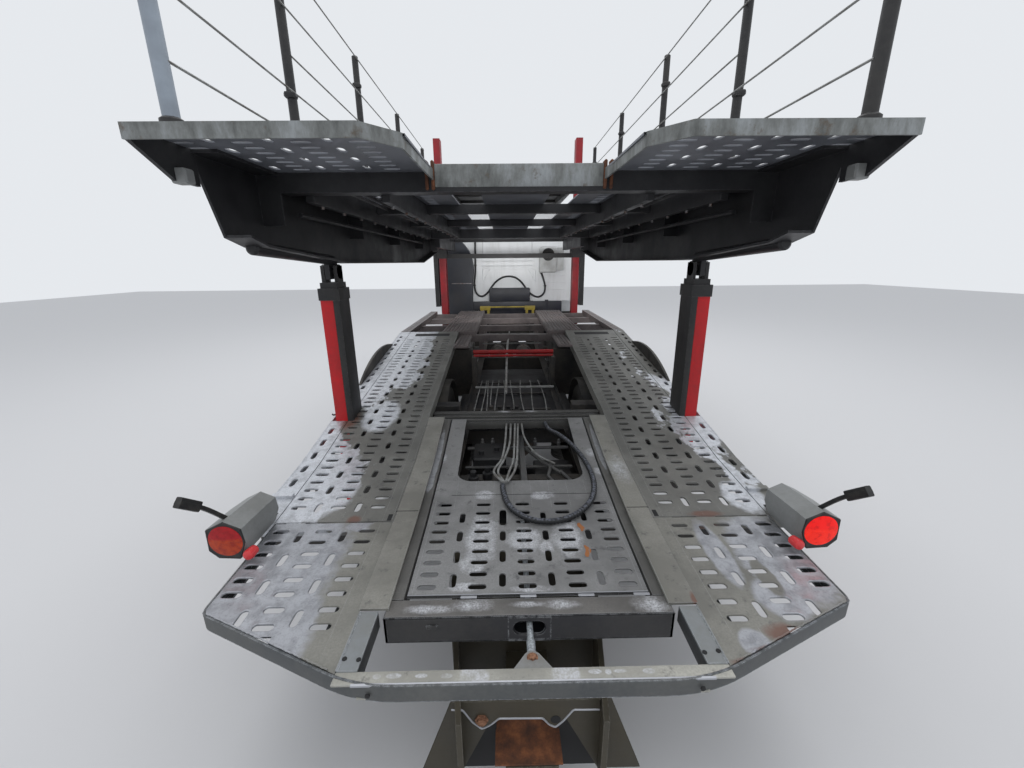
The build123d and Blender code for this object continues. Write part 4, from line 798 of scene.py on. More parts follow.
for side, hand in ((1, "right"), (-1, "left")):
    shells = [plain_strip(left, right, *track_ends, track_plate, track_bends)
        for left, right in ((0.618, 0.663), (1.148, 1.158))]
    for centre, kind in column_centres:
        first = track_start - (0.072 if kind == "along" else 0.0) * 0.5
        slots = 19 if kind == "along" else 38
        shells += slotted_column(centre, kind, level_at(track_ends[0]), level_at(track_ends[1]),
            pressed_rim[::2], track_plate, track_bends, 3, slot_pitch, first, slots)
    for low, high, first, slots in outer_columns.values():
        shells += slotted_column(outer_centre, "along", level_at(low), level_at(high), pressed_rim[::2],
            track_plate, track_bends, 3, outer_pitch, first, slots, outer_half)
        for left, right in ((1.163, outer_centre - outer_half), (outer_centre + outer_half, 1.267)):
            shells.append(plain_strip(left, right, low, high, track_plate, track_bends))
    solids = [placed(one_plate(shells), deck_line, side)]
    for u_low, u_high in ((0.61, 0.618), (1.267, 1.275)):
        solids.append(strip(u_low, u_high, track_bends, lambda v: deck_line(v) + 0.001, edge_depth, side))
    for low, high in ((0.782, post_gap[0]), (post_gap[1], 3.866)):
        inside = [low, *[v for v in track_bends if low < v < high], high]
        solids.append(strip(1.158, 1.163, inside, lambda v: deck_line(v) - 0.012, 0.058, side))
    solids += [strip(0.618, 1.267, [station, station + 0.006], deck_line, edge_depth, side)
        for station in (0.782, 3.858)]
    made = piece(f"track_{hand}.plates", solids, track_steel, smooth=50)
    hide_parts(f"deck_tracks_{hand}")

# Black for real seams and joints, and also for painted shade: the hinge recesses, the holes and the sheets
# behind the coupling carrier.
seam_and_shade_black = new_finish("seam_and_shade_black", Roughness=0.7, Base_Color=(0.012, 0.012, 0.013, 1))[0]
seam_station = 3.13
seams = [strip(0.624, 1.156, [seam_station, seam_station + 0.007], lambda s: deck_line(s) + 0.0006, 0.004),
    strip(0.7, 1.08, [3.7, 3.79], lambda s: deck_line(s) + 0.0008, 0.004)]
# Black strips in the hinge recesses: painted shade.
hinge_recess_shade = [strip(low, high, [rear, front], lambda s: deck_line(s) + 0.0008, 0.004)
    for low, high, rear, front in ((0.622, 0.642, 0.79, 0.835), (1.18, 1.23, 0.8, 0.86))]
piece("track_seams", both(*seams, *hinge_recess_shade), seam_and_shade_black)

hinge_roll = turned([(-0.045, 0.011), (0.045, 0.011)], (0, 0, 0), (1, 0, 0), 14)
hinge_places = [(u, at(0.781), 0.877) for u in (0.655, 0.86, 1.06)]
edge_tab = strip(1.166, 1.272, [0.968, 0.996], lambda s: deck_line(s) + 0.016, 0.024)
hinge_bar = strip(1.192, 1.216, [0.806, 0.852], lambda s: deck_line(s) + 0.006, 0.01)
piece("track_hinges", both(copies(hinge_roll, hinge_places), edge_tab, hinge_bar), track_steel)

# Planks behind the cab
# Two ribbed planks between the tracks and the cab, edge rails and cross sleepers, all black
# steel with a brown film. Lengthwise ribs give the tyres grip.
plank_paint = steel_paint("plank_paint", (0.085, 0.074, 0.073), (0.19, 0.16, 0.155), (0.3, 0.27, 0.25))
dress(plank_paint, "deck_planks")
plank_top = 1.29
plank_run = (3.866, 5.95)
rib_pitch = 0.039
rib_offsets = 0.41 + rib_pitch * (np.arange(10) + 0.5)
ribs = [beam((u - 0.008, at(plank_run[0]) + 0.01, plank_top - 0.004),
        (u + 0.008, at(plank_run[1]) - 0.01, plank_top + 0.007), 0.003) for u in rib_offsets]
piece("plank_ribs", both(*ribs), plank_paint)

plank_tail = bar((0.455, 3.215, 1.222), (0.598, 3.9, 1.246), 0.004)
tail_ribs = [bar((u - 0.008, 3.222, 1.243), (u + 0.008, 3.89, 1.253), 0.003)
    for u in (0.475, 0.508, 0.541, 0.574)]
piece("plank_tails", both(plank_tail, *tail_ribs), plank_paint)
edge_holes = np.arange(3.95, 5.9, 0.12)
edge_plugs = [turned([(0, 0.017), (0.002, 0.0185), (0.0035, 0.016)], (1.225, at(v), plank_top - 0.001),
        (0, 0, 1), 12) for v in edge_holes]
piece("edge_rail_bolts", both(*edge_plugs), plank_paint)

# Gear under the open deck
# Red cross tube, grey lines, air tanks and a valve block that show through the open middle of
# the deck, with pale cables clipped along the crossmembers.
cable_grey = clouded("cable_grey", 0.05, [(0.4, (0.28, 0.285, 0.28)), (0.7, (0.12, 0.11, 0.1))],
    Roughness=0.55)
# Near-black for sheets that stand in for the shade under the decks: painted shade.
shade_sheet_black = steel_paint("shade_sheet_black", (0.01, 0.011, 0.014), (0.03, 0.029, 0.028), (0.1, 0.1, 0.1), 0.5)
red_paint = steel_paint("red_paint", (0.42, 0.006, 0.01), (0.16, 0.02, 0.018), (0.2, 0.12, 0.1), 0.6)
red_tube = turned([(-0.4, 0.022), (0.4, 0.022)], (0, at(3.2), 1.185), (1, 0, 0), 24)
red_bars = [bar((-0.39, 3.09, 1.16), (0.39, 3.11, 1.18), 0.005)]
piece("cross_tube", [red_tube, *red_bars], red_paint)
tube_seats = [bar((u - 0.02, 3.05, 0.85), (u + 0.02, 3.25, 1.165), 0.006) for u in (-0.385, 0.385)]
piece("tube_seats", tube_seats, frame_paint)
thin_bars = [beam((-0.345, at(v), z), (0.345, at(v) + 0.02, z + 0.016), 0.004)
    for v, z in ((4.5, 1.142), (3.9, 1.13), (2.6, 0.985))]
middle_line = pipe(0.01, 8,
    threaded([(-0.02, at(4.9), 1.165), (-0.035, at(4.2), 1.16), (-0.055, at(3.4), 1.22),
            (-0.07, at(2.9), 1.06), (-0.075, at(2.45), 0.99)], 40))
piece("thin_bars", [*thin_bars, middle_line], cable_grey)
# A black sheet with low side lips under the open deck, standing in for the dark shade there: painted shade.
deck_shade_sheet = [bar((-0.405, 1.99, 0.834), (0.405, 3.84, 0.842), 0.003),
    *both(bar((0.398, 1.99, 0.834), (0.406, 3.84, 0.88), 0.003))]
side_shade_sheets = bar((0.432, 2.05, 0.798), (0.505, 3.02, 0.805), 0.002)
deck_shade_sheet += both(side_shade_sheets)
piece("deck_shade_sheet", deck_shade_sheet, shade_sheet_black)
air_tank = turned([(0, 0.03), (0.015, 0.09), (0.05, 0.118), (0.85, 0.118), (0.885, 0.09), (0.9, 0.03)],
    (0.2, at(4.72), 0.7), (0, 1, 0), 32)
piece("air_tanks", both(air_tank), frame_paint)
tank_straps_low = [turned([(0, 0.121), (0.03, 0.121)], (0.2, at(v), 0.7), (0, 1, 0), 32)
    for v in (4.9, 5.4)]
tank_hangers = [beam((0.185, at(v), 0.8), (0.215, at(v) + 0.03, 0.845), 0.003) for v in (4.9, 5.4)]
piece("air_tank_straps", both(*tank_straps_low, *tank_hangers), nut_metal)

cable_offsets = np.array([-0.33, -0.285, -0.25, -0.205, -0.16, -0.1, -0.02, 0.07, 0.16, 0.26])
cables = []
for index, u in enumerate(cable_offsets):
    v = np.linspace(1.96, 3.26, 40)
    bow = 0.012 * np.sin(v * (2.1 + 0.23 * index) + index)
    cables.append(pipe(0.0055, 8, np.column_stack([u + bow, at(v), np.full(40, 0.868)])))
piece("deck_cables", cables, cable_grey)
cable_clips = [beam((-0.36, at(v), 0.85), (0.3, at(v) + 0.025, 0.862), 0.002)
    for v in (2.0, 2.4, 2.85, 3.2)]
piece("cable_clips", cable_clips, frame_paint)
valve_block = [bar((-0.25, 2.22, 0.62), (0.06, 2.42, 0.83), 0.008)]
valve_block += [turned([(0, 0.028), (0.06, 0.028), (0.065, 0.018), (0.09, 0.018)], (u, at(2.32), 0.828),
        (0, 0, 1), 16) for u in (-0.2, -0.13, -0.06, 0.01)]
piece("valve_block", valve_block, frame_paint)

# Centre of the lower deck
# Between the tracks a black crossbeam with an oval hole, a slotted plate with an opening up to
# a double-lipped crossbar, polished side channels, and olive cover rails that the sliding tail's
# arms run under. Chalky white dust lies where boots wore the zinc.
beam_black = steel_paint("beam_black", (0.024, 0.024, 0.027), (0.055, 0.053, 0.05), (0.24, 0.25, 0.26),
    0.85)


def block(low, high):
    """A plain box between two corners."""
    flat = rectangle(low[::2], high[::2])
    return tube(np.stack([upright(flat, y) for y in (low[1], high[1])]))


beam_rear, beam_front = at(0.25), at(0.33)
beam_low, beam_high, beam_half = 0.75, 0.862, 0.512
hole_half = 0.075
oval = stadium_cells(np.array([(0.0, 0.806)]), np.array([hole_half, 0.056]), (0.11, 0.056), False,
    [(0.004, 0.0)], 0.008, 10)
oval_plate = outward(np.column_stack([oval[0][:, 0], beam_rear - oval[0][:, 2], oval[0][:, 1]]), oval[1])
beam_shells = [oval_plate,
    beam((-beam_half, beam_rear, beam_high - 0.012), (beam_half, beam_front, beam_high), 0.005),
    beam((-beam_half, beam_rear, beam_low), (beam_half, beam_front, beam_low + 0.01), 0.004)]
beam_shells += both(block((hole_half, beam_rear, beam_low + 0.003),
        (beam_half, beam_rear + 0.008, beam_high - 0.004)))
beam_shells += both(block((beam_half - 0.008, beam_rear, beam_low + 0.003),
        (beam_half, beam_front, beam_high - 0.004)))
beam_shells.append(block((-beam_half, beam_front - 0.008, beam_low + 0.003),
        (beam_half, beam_front, beam_high - 0.004)))
beam_tab = beam((-0.365, beam_rear - 0.006, 0.815), (-0.322, beam_rear + 0.002, 0.828), 0.003)
made = piece("crossbeam", [*beam_shells, beam_tab], beam_black, smooth=40)
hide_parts("deck_centre")
beam_skin = deck_finish("beam_skin", (0.34, 0.35, 0.37), (0.15, 0.143, 0.135), bias=-0.3, right_bias=0.0,
    chalks=[(-0.205, 0.3, 0.055, 0.022), (0.115, 0.298, 0.048, 0.016), (0.44, 0.29, 0.05, 0.03),
        (-0.35, 0.285, 0.08, 0.014), (0.0, 0.3, 0.05, 0.01)])
piece("beam_top",
    [beam((-beam_half + 0.004, beam_rear + 0.003, beam_high - 0.0002),
            (beam_half - 0.004, beam_front - 0.002, beam_high + 0.0006), 0.0002)], beam_skin)

centre_line = lambda s: np.interp(s, [0.25, 0.78, 1.3, 2.016], [0.862, 0.88, 0.927, 1.043])
# The first colour given is the painted sky reflection on the wet places.
channel_steel = deck_finish("channel_zinc", (0.36, 0.37, 0.39), (0.125, 0.122, 0.115), bias=-0.3,
    right_bias=0.0, wets=[(-0.487, 1.35, 0.018, 0.3), (-0.49, 1.1, 0.02, 0.08), (0.487, 1.45, 0.016, 0.25)])
channel_run = np.array([0.331, 0.78, 1.3, 1.8])
channel_section = ring_of(rectangle((0.458, 0), (0.512, -0.058)), 0.005)


def carried(section, stations, line, side=1):
    """A closed section of u and rise carried along stations, on a line of heights."""
    stations = np.asarray(stations, float)
    rings = np.empty((len(stations), len(section), 3))
    rings[..., 0] = side * section[None, :, 0]
    rings[..., 1] = at(stations)[:, None]
    rings[..., 2] = line(stations)[:, None] + section[None, :, 1]
    return tube(rings)


piece("side_channels", both(carried(channel_section, channel_run, centre_line)), channel_steel)

cover_line = lambda s: np.interp(s, [0.283, 0.78, 1.3, 1.9], [0.872, 0.896, 0.943, 1.046])
rail_steel = deck_finish("cover_zinc", (0.36, 0.37, 0.38), (0.275, 0.268, 0.24), bias=-0.34, right_bias=0.0,
    chalks=[(0.555, 1.18, 0.045, 0.1)], rusts=[(0.6, 0.3, 0.012, 0.03)])
cover_section = ring_of([(0.499, -0.01), (0.499, 0), (0.606, 0), (0.609, -0.012), (0.603, -0.012),
        (0.601, -0.008)], 0.0025)
cover_run = np.array([0.283, 0.288, 0.78, 1.3, 1.79])
cover_lip = carried(ring_of(rectangle((0.499, 0.0035), (0.503, -0.002)), 0.0015), cover_run[1:], cover_line)
cover_joint = 0.845
joint_gap = strip(0.5, 0.609, [cover_joint, cover_joint + 0.004], lambda s: cover_line(s) + 0.0006, 0.003)
piece("cover_rails", both(carried(cover_section, cover_run, cover_line), cover_lip), rail_steel)
piece("cover_joints", both(joint_gap), seam_and_shade_black)

crossbar_steel = deck_finish("crossbar_zinc", (0.3, 0.31, 0.32), (0.085, 0.083, 0.078), bias=-0.34,
    right_bias=0.0, chalks=[(-0.09, 1.965, 0.04, 0.014), (0.1, 1.965, 0.04, 0.014)])
crossbar_rear, crossbar_front = at(1.8), at(1.99)
crossbar_half = 0.6
crossbar_shells = [beam((-crossbar_half, rear, low), (crossbar_half, front, high), radius)
    for rear, front, low, high, radius in ((crossbar_rear, crossbar_front, 0.93, 0.985, 0.006),
        (crossbar_rear, crossbar_rear + 0.022, 0.985, 1.0, 0.005),
        (crossbar_rear + 0.062, crossbar_rear + 0.08, 0.98, 1.0, 0.005),
        (crossbar_front - 0.05, crossbar_front, 0.978, 0.998, 0.005))]
piece("crossbar", crossbar_shells, crossbar_steel)
clear_of_rails = [block((0.37, at(1.81), 0.85), (beam_half, at(1.87), 0.932)),
    block((0.46, at(0.84), 0.79), (beam_half, at(0.9), 0.828))]
piece("crossbar_hangers", both(*clear_of_rails), beam_black)

# Slotted centre plate
# Slots across in five columns and along in four, with one long slot, then plain plate with a
# joint, and two arms either side of the opening. White dust lies in the middle, and rust runs
# from two of the slots on the right.
plate_rear, plate_joint, opening_rear, plate_front = 0.34, 0.985, 1.11, 1.795
plate_half, arm_low, centre_gauge, long_slot_rear = 0.448, 0.35, 0.008, 0.7475
across_line, row_pitch, row_start = 0.192, 0.0655, 0.3545
centre_steel = deck_finish("centre_zinc", (0.46, 0.47, 0.5), (0.25, 0.25, 0.25), bias=-0.42, right_bias=0.0,
    chalks=[(-0.19, 0.66, 0.062, 0.16), (0.0, 0.65, 0.07, 0.075), (0.19, 0.66, 0.062, 0.11),
        (-0.22, 0.5, 0.05, 0.05), (-0.19, 0.985, 0.05, 0.035), (0.105, 0.975, 0.055, 0.03),
        (0.09, 0.6, 0.03, 0.04), (-0.47, 1.34, 0.035, 0.055), (0.44, 1.38, 0.035, 0.04),
        (0.44, 1.19, 0.028, 0.035), (-0.24, 0.385, 0.06, 0.02), (0.02, 0.37, 0.08, 0.016)],
    dries=[(0.12, 1.04, 0.2, 0.06)], chalk_edge=(1.1, 0.12))
plate_rim = [(0.0085, 0.0), (0.004, 0.0013), (0.0, -0.001), (-0.0004, -0.0045)]
plate_rows = [0.78, 0.985, 1.3]
flat_low, flat_high = level_at(plate_rear), level_at(opening_rear)
shells = []
for step in (-2, -1, 0, 1, 2, -1.5, -0.5, 0.5, 1.5):
    kind = "across" if step == int(step) else "along"
    near = level_at(long_slot_rear) if step == -0.5 else flat_high
    slots = 9 if kind == "across" else (3 if step == -0.5 else 4)
    shells += slotted_column(step * across_line, kind, flat_low, near, plate_rim, centre_gauge, plate_rows,
        5, row_pitch, row_start, slots, across_line / 4)
shells.append(stadium_cells(np.array([(-0.096, 0.813)]), np.array([0.048, 0.0655]), (0.12, 0.034), True,
        plate_rim, centre_gauge, 5))
for left, right, rear in ((-0.144, -0.048, 0.8785), (-plate_half, -0.432, plate_rear),
        (0.432, plate_half, plate_rear)):
    shells.append(plain_strip(left, right, rear, opening_rear, centre_gauge, plate_rows))
centre_plates = [placed(one_plate(shells), centre_line)]
arm_section = ring_of([(arm_low, 0), (plate_half, 0), (plate_half, -0.05),
        (plate_half - centre_gauge, -0.05), (plate_half - centre_gauge, -centre_gauge),
        (arm_low, -centre_gauge)], 0.002)
centre_plates += both(carried(arm_section, [opening_rear, 1.3, plate_front], centre_line))
corner_turn = np.linspace(0, np.pi / 2, 8)
corner_radius = 0.085
for hand in (-1, 1):
    curve = np.column_stack([hand * (arm_low - corner_radius * (1 - np.sin(corner_turn))),
            opening_rear + corner_radius * (1 - np.cos(corner_turn))])
    fillet = np.concatenate([curve, [(hand * arm_low, opening_rear - 0.001)]])
    ring = np.column_stack([fillet[:, 0], at(fillet[:, 1]), centre_line(fillet[:, 1]) - 0.0004])
    centre_plates.append(tube(np.stack([ring, ring - (0, 0, centre_gauge)])))
made = piece("centre_plate.slotted", centre_plates, centre_steel, smooth=50)
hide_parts("centre_plate")

seam_depth = 0.003
seam_shells = [strip(-plate_half, plate_half, [0.3405, 0.3445], lambda s: centre_line(s) + 0.0008,
        seam_depth),
    strip(-0.36, 0.36, [plate_joint, plate_joint + 0.003], lambda s: centre_line(s) + 0.0006, seam_depth)]
seam_shells += both(strip(plate_half - 0.001, 0.4565, [0.34, 0.78, 1.3, 1.795],
        lambda s: centre_line(s) - 0.01, 0.03))
piece("plate_seams", seam_shells, seam_and_shade_black)
# Pale grey for thin tabs and lines along edges that catch the light: a painted highlight.
painted_edge_highlight = new_finish("painted_edge_highlight", Metallic=0.5, Roughness=0.4, Base_Color=(0.42, 0.43, 0.46, 1))[0]
tab_places = [-0.22, 0.0, 0.215, 0.42]
tabs = [bar((x - 0.03, 0.33, 0.863), (x + 0.03, 0.342, 0.8665), 0.001) for x in tab_places]
edge_line = bar((-plate_half, 0.3455, 0.8655), (plate_half, 0.349, 0.8675), 0.0008)
piece("plate_edge", [*tabs, edge_line], painted_edge_highlight)

rust_streak = new_finish("rust_streak", Roughness=0.85, Base_Color=(0.34, 0.13, 0.045, 1))[0]
for name, rear, front in (("lower", 0.535, 0.605), ("upper", 0.7, 0.76)):
    v = np.linspace(rear, front, 9)
    wave = 0.262 + 0.006 * np.sin(90 * v)
    half = 0.01 * np.sin(np.linspace(0.3, 2.9, 9)) + 0.002
    top = np.stack([np.column_stack([wave + side * half, at(v), centre_line(v) + 0.0007])
            for side in (-1, 1)], axis=1)
    ring = np.concatenate([top, top[:, ::-1] - (0, 0, 0.002)], axis=1)
    piece(f"rust_{name}", [tube(ring)], rust_streak)

# Gear in the opening
# Black valves and boxes on the chassis under the opening, a grey upright plate with braces, and
# thin grey lines that fall from the crossbar and run to the hose's left end.
# A black sheet under the opening that stands in for the dark shade below it: painted shade.
opening_shade_sheet = bar((-0.405, 1.12, 0.602), (0.405, 1.83, 0.608), 0.002)
piece("opening_shade_sheet", [opening_shade_sheet], shade_sheet_black)
gear_black = steel_paint("gear_black", (0.012, 0.012, 0.014), (0.035, 0.034, 0.034), (0.12, 0.12, 0.13),
    0.7)
gear_grey = steel_paint("gear_grey", (0.075, 0.077, 0.08), (0.11, 0.106, 0.1), (0.3, 0.3, 0.3), 0.8)
dark_gear = [bar((-0.33, 1.22, 0.62), (-0.1, 1.4, 0.8), 0.01),
    bar((-0.29, 1.48, 0.66), (-0.08, 1.72, 0.86), 0.01), bar((0.1, 1.3, 0.6), (0.33, 1.62, 0.78), 0.012),
    bar((-0.34, 1.13, 0.66), (0.34, 1.16, 0.72), 0.006)]
dark_gear += [turned([(0, 0.03), (0.05, 0.03), (0.055, 0.018), (0.085, 0.018)], (x, at(v), 0.8), (0, 0, 1),
        16) for x, v in ((-0.27, 1.27), (-0.19, 1.32), (-0.24, 1.55), (-0.14, 1.6))]
piece("opening_valves", dark_gear, gear_black)
upright_bar = [bar((0.006, 1.16, 0.72), (0.04, 1.8, 0.88), 0.004),
    bar((-0.34, 1.66, 0.835), (0.34, 1.685, 0.85), 0.003),
    bar((-0.34, 1.46, 0.8), (0.34, 1.48, 0.812), 0.003)]
brace = circle(0.01, 10)
upright_bar += [swept(brace, [(0.05, at(1.62), 0.86), (0.14, at(1.48), 0.84), (0.25, at(1.34), 0.83)]),
    swept(brace, [(0.2, at(1.44), 0.84), (0.17, at(1.3), 0.83), (0.21, at(1.2), 0.82)]),
    swept(brace, [(0.25, at(1.36), 0.83), (0.3, at(1.26), 0.82), (0.31, at(1.2), 0.82)])]
fittings = [turned([(0, 0.012), (0.04, 0.012), (0.042, 0.008), (0.06, 0.008)], (x, at(v), 0.83), (0, 0, 1),
        10) for x, v in ((-0.24, 1.72), (-0.17, 1.73), (0.12, 1.72), (0.28, 1.7))]
piece("opening_frame", [*upright_bar, *fittings], gear_grey)


line_routes = [[(x0, at(1.8), 0.965), (x0 - 0.01, at(1.55), 0.935), (x1, at(1.32), 0.935),
        (x1 - 0.03 + spread, at(1.17), 0.935), (-0.085 + spread, at(1.07), 0.925)]
    for x0, x1, spread in ((-0.075, -0.105, -0.012), (-0.045, -0.09, -0.004), (-0.015, -0.035, 0.004),
        (0.005, -0.015, 0.012))]
line_routes.append([(0.03, at(1.8), 0.965), (0.045, at(1.65), 0.925), (0.11, at(1.5), 0.88),
        (0.22, at(1.4), 0.86)])
grey_lines = [pipe(0.0065, 8, threaded(route)) for route in line_routes]
piece("opening_lines", grey_lines, cable_grey)

# Wrapped hose
# Black lines in one spiral wrap that leave the crossbar, lie in a loop on the plate, and end at
# the grey lines. The wrap's turns stand out as ribs, with a painted bluish highlight on their
# up-facing tops, broken up by noise.
hose_diameter = 0.03
hose_points = [(0.195, 1.7997, 0.968), (0.195, 1.69, 0.968), (0.262, 1.55, 0.99), (0.345, 1.39, 0.964),
    (0.392, 1.2, 0.936), (0.386, 1.0, 0.917), (0.318, 0.85, 0.905), (0.19, 0.752, 0.897),
    (0.05, 0.748, 0.897), (-0.05, 0.83, 0.903), (-0.092, 0.945, 0.912), (-0.098, 1.045, 0.921)]
hose_curve = bpy.data.curves.new("hose_line", "CURVE")
hose_curve.dimensions = "3D"
hose_curve.resolution_u = 24
spline = hose_curve.splines.new("NURBS")
spline.points.add(len(hose_points) - 1)
for point, (x, station, height) in zip(spline.points, hose_points):
    point.co = (x, at(station), height, 1)
spline.order_u = 3
spline.use_endpoint_u = True
line_holder = bpy.data.objects.new("hose_line", hose_curve)
hose_mesh = bpy.data.meshes.new_from_object(line_holder)
hose_path = np.array([tuple(vertex.co) for vertex in hose_mesh.vertices])
bpy.data.objects.remove(line_holder)
bpy.data.meshes.remove(hose_mesh)


def evenly(path, count):
    """The same line at evenly spaced places along its length."""
    runs = np.concatenate([[0], np.cumsum(np.linalg.norm(np.diff(path, axis=0), axis=1))])
    places = np.linspace(0, runs[-1], count)
    return np.column_stack([np.interp(places, runs, path[:, k]) for k in range(3)])


def upness(tree):
    """How far the surface looks up: the height component of its normal."""
    normal = node_of(tree, "ShaderNodeNewGeometry").outputs["Normal"]
    return node_of(tree, "ShaderNodeSeparateXYZ", [(0, normal)]).outputs[2]


hose_wrap, tree = new_finish("hose_wrap", Specular_IOR_Level=0.45)
wrap_noise = grain(tree, 0.012, detail=4)
turned_up = upness(tree)
# Painted highlight: a bluish pale colour on the up-facing tops of the ribs, broken up by noise.
painted_top_highlight = product(tree, ramp(tree, turned_up, (0.55, 0.0), (0.92, 1.0)),
    ramp(tree, wrap_noise, (0.4, 0.0), (0.6, 1.0)))
lay(tree, wrap_noise, 0.0004, Base_Color=blended(tree, painted_top_highlight, (0.01, 0.011, 0.013), (0.13, 0.14, 0.17)),
    Roughness=ramp(tree, wrap_noise, (0.3, 0.35), (0.7, 0.65)))
rib_turns = 96
hose_steps = rib_turns * 8 + 1
hose_rings = evenly(hose_path, hose_steps)
swell = 1.0 - 0.13 * np.abs(np.cos(np.linspace(0, rib_turns * np.pi, hose_steps)))
hose_shell = pipe(hose_diameter / 2, 14, hose_rings, scale=swell)
made = piece("tail_hose.wrap", [hose_shell], hose_wrap, smooth=60)
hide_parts("tail_hose")

# Tail platform
# A platform that slides out of the lower deck's tail: two plates with the tracks' slots, a
# deep rim with a raised lip folded round them, a channel across the rear, and two arms that
# run under the cover rails. It is bare galvanised steel, welded at its joints.
tail_front, tail_joint = 0.777, 0.779
tail_height = lambda station: np.interp(station, [0.0, tail_joint], [0.862, 0.888])
slant_inner, slant_outer, slant_rear = 0.52, 1.16, 0.273


def slant_line(u):
    """The station of the slanted rear edge at a distance from the centreline."""
    return np.maximum((u - slant_inner) * slant_rear / (slant_outer - slant_inner), 0.0) + 0.01


# The first colour given is the painted sky reflection on the wet places.
tail_steel = deck_finish("tail_zinc", (0.385, 0.395, 0.425), (0.245, 0.24, 0.215), film_offset=(4, 2, 0),
    bias=-0.42, right_bias=0.0,
    wets=[(-1.02, 0.5, 0.26, 0.42), (-0.88, 0.2, 0.16, 0.2), (-0.72, 0.75, 0.1, 0.04),
        (1.04, 0.52, 0.17, 0.26), (0.8, 0.55, 0.05, 0.2), (0.92, 0.3, 0.1, 0.1), (0.72, 0.12, 0.05, 0.05)],
    rusts=[(0.835, 0.15, 0.06, 0.036), (0.7, 0.055, 0.08, 0.014), (0.8, 0.095, 0.09, 0.012)],
    chalks=[(1.04, 0.496, 0.02, 0.01)], dries=[(-0.66, 0.45, 0.085, 0.4), (0.92, 0.4, 0.035, 0.1)])
first_row, tail_plate = 0.178, 0.006
tail_counts = {"across": 8, "along": 4}
shells = [plain_strip(0.6, 0.663, slant_line(np.array([0.6, 0.663])), tail_front, tail_plate)]
for index, (centre, kind) in enumerate(column_centres):
    skipped = 2 if index == 4 else 0
    pitch = slot_pitch * (2 if kind == "along" else 1)
    shells += slotted_column(centre, kind, slant_line, level_at(tail_front), pressed_rim, tail_plate, (), 6,
        slot_pitch, first_row + skipped * pitch, tail_counts[kind] - skipped)
shells.append(plain_strip(1.148, 1.154, slant_line(np.array([1.148, 1.154])), tail_front, tail_plate))
plate_points, plate_faces = one_plate(shells)
plate_points[:, 1] = np.maximum(plate_points[:, 1], slant_line(plate_points[:, 0]))
tail_plates = [placed((plate_points, plate_faces), tail_height, side) for side in (1, -1)]
made = piece("tail_platform.plates", tail_plates, tail_steel, "tail_platform", 50)
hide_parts("tail_platform")


def bent_path(points, radii, steps=9):
    """An open line with each inner corner rounded: a parabola that starts and ends one radius
    from the corner."""
    points = np.asarray(points, float)
    t = np.linspace(0, 1, steps)[:, None]
    path = [points[:1]]
    for before, corner, after, radius in zip(points, points[1:], points[2:], radii):
        start = corner + (before - corner) / np.linalg.norm(before - corner) * radius
        end = corner + (after - corner) / np.linalg.norm(after - corner) * radius
        path.append((1 - t) ** 2 * start + 2 * t * (1 - t) * corner + t ** 2 * end)
    return np.concatenate([*path, points[-1:]])


rim_plan = bent_path([(-1.159, tail_front), (-1.159, slant_rear), (-slant_inner - 0.01, 0.0),
        (slant_inner + 0.01, 0.0), (1.159, slant_rear), (1.159, tail_front)], [0.035, 0.13, 0.13, 0.035])
rim_section = np.array([(0, -0.058), (0, -0.003), (-0.0015, 0.0015), (-0.005, 0.003), (-0.0085, 0.0015),
        (-0.01, -0.002), (-0.01, -0.006), (-0.0075, -0.008), (-0.0075, -0.051), (-0.03, -0.051),
        (-0.03, -0.058)])


def along_rim(section, plan):
    """A section of outward distance and rise carried round the rim's plan."""
    path = np.column_stack([plan[:, 0], at(plan[:, 1]), tail_height(plan[:, 1])])
    return swept(section, path)


rim_zinc = steel_paint("rim_zinc", (0.06, 0.066, 0.07), (0.12, 0.122, 0.118), (0.46, 0.48, 0.52), 1.0)
piece("tail_rim", [along_rim(rim_section, rim_plan)], rim_zinc, "tail_platform", 40)
share = np.linspace(0.03, 0.97, 60)
bead_u = slant_inner + 0.09 + share * (slant_outer - slant_inner - 0.1)
wobble = 0.0012 * np.sin(share * 190) + 0.0008 * np.sin(share * 77)
bead_height = tail_height(bead_u * 0) + 0.0035 + (slant_line(bead_u) / tail_joint) * 0.026
bead_runs = [pipe(0.0028, 6,
        np.column_stack([hand * bead_u, at(slant_line(bead_u) + 0.002 + wobble), bead_height]))
    for hand in (-1, 1)]
piece("tail_welds", bead_runs, tail_steel, "tail_platform")

channel_top_steel = deck_finish("channel_top_zinc", (0.55, 0.56, 0.58), (0.44, 0.43, 0.385), bias=-0.5,
    right_bias=0.0,
    chalks=[(-0.178, 0.03, 0.042, 0.04), (0.096, 0.03, 0.042, 0.04), (-0.47, 0.034, 0.012, 0.008),
        (-0.42, 0.036, 0.022, 0.008), (-0.337, 0.034, 0.018, 0.007), (-0.262, 0.032, 0.018, 0.008),
        (0.185, 0.036, 0.02, 0.008), (0.225, 0.034, 0.01, 0.009), (0.262, 0.036, 0.02, 0.006),
        (0.348, 0.034, 0.018, 0.009)], chalk_edge=(0.45, 0.06))
channel_top = bar((-0.6, 0.009, 0.855), (0.6, 0.052, 0.8625), 0.0025)
channel_foot = bar((-0.53, 0.008, 0.804), (0.53, 0.048, 0.811), 0.002)
piece("tail_channel", [channel_top, channel_foot], channel_top_steel, "tail_platform")
# A painted highlight along the channel's rear edge.
edge_shine = swept(ring_of([(-0.0015, -0.004), (0.0012, -0.004), (0.0012, 0.0022), (-0.0055, 0.0045),
            (-0.0065, 0.002)], 0.001),
    np.column_stack([np.linspace(-0.54, 0.54, 40), np.full(40, at(0.0068)), np.full(40, 0.8605)]))
piece("channel_edge", [edge_shine], painted_edge_highlight, "tail_platform")

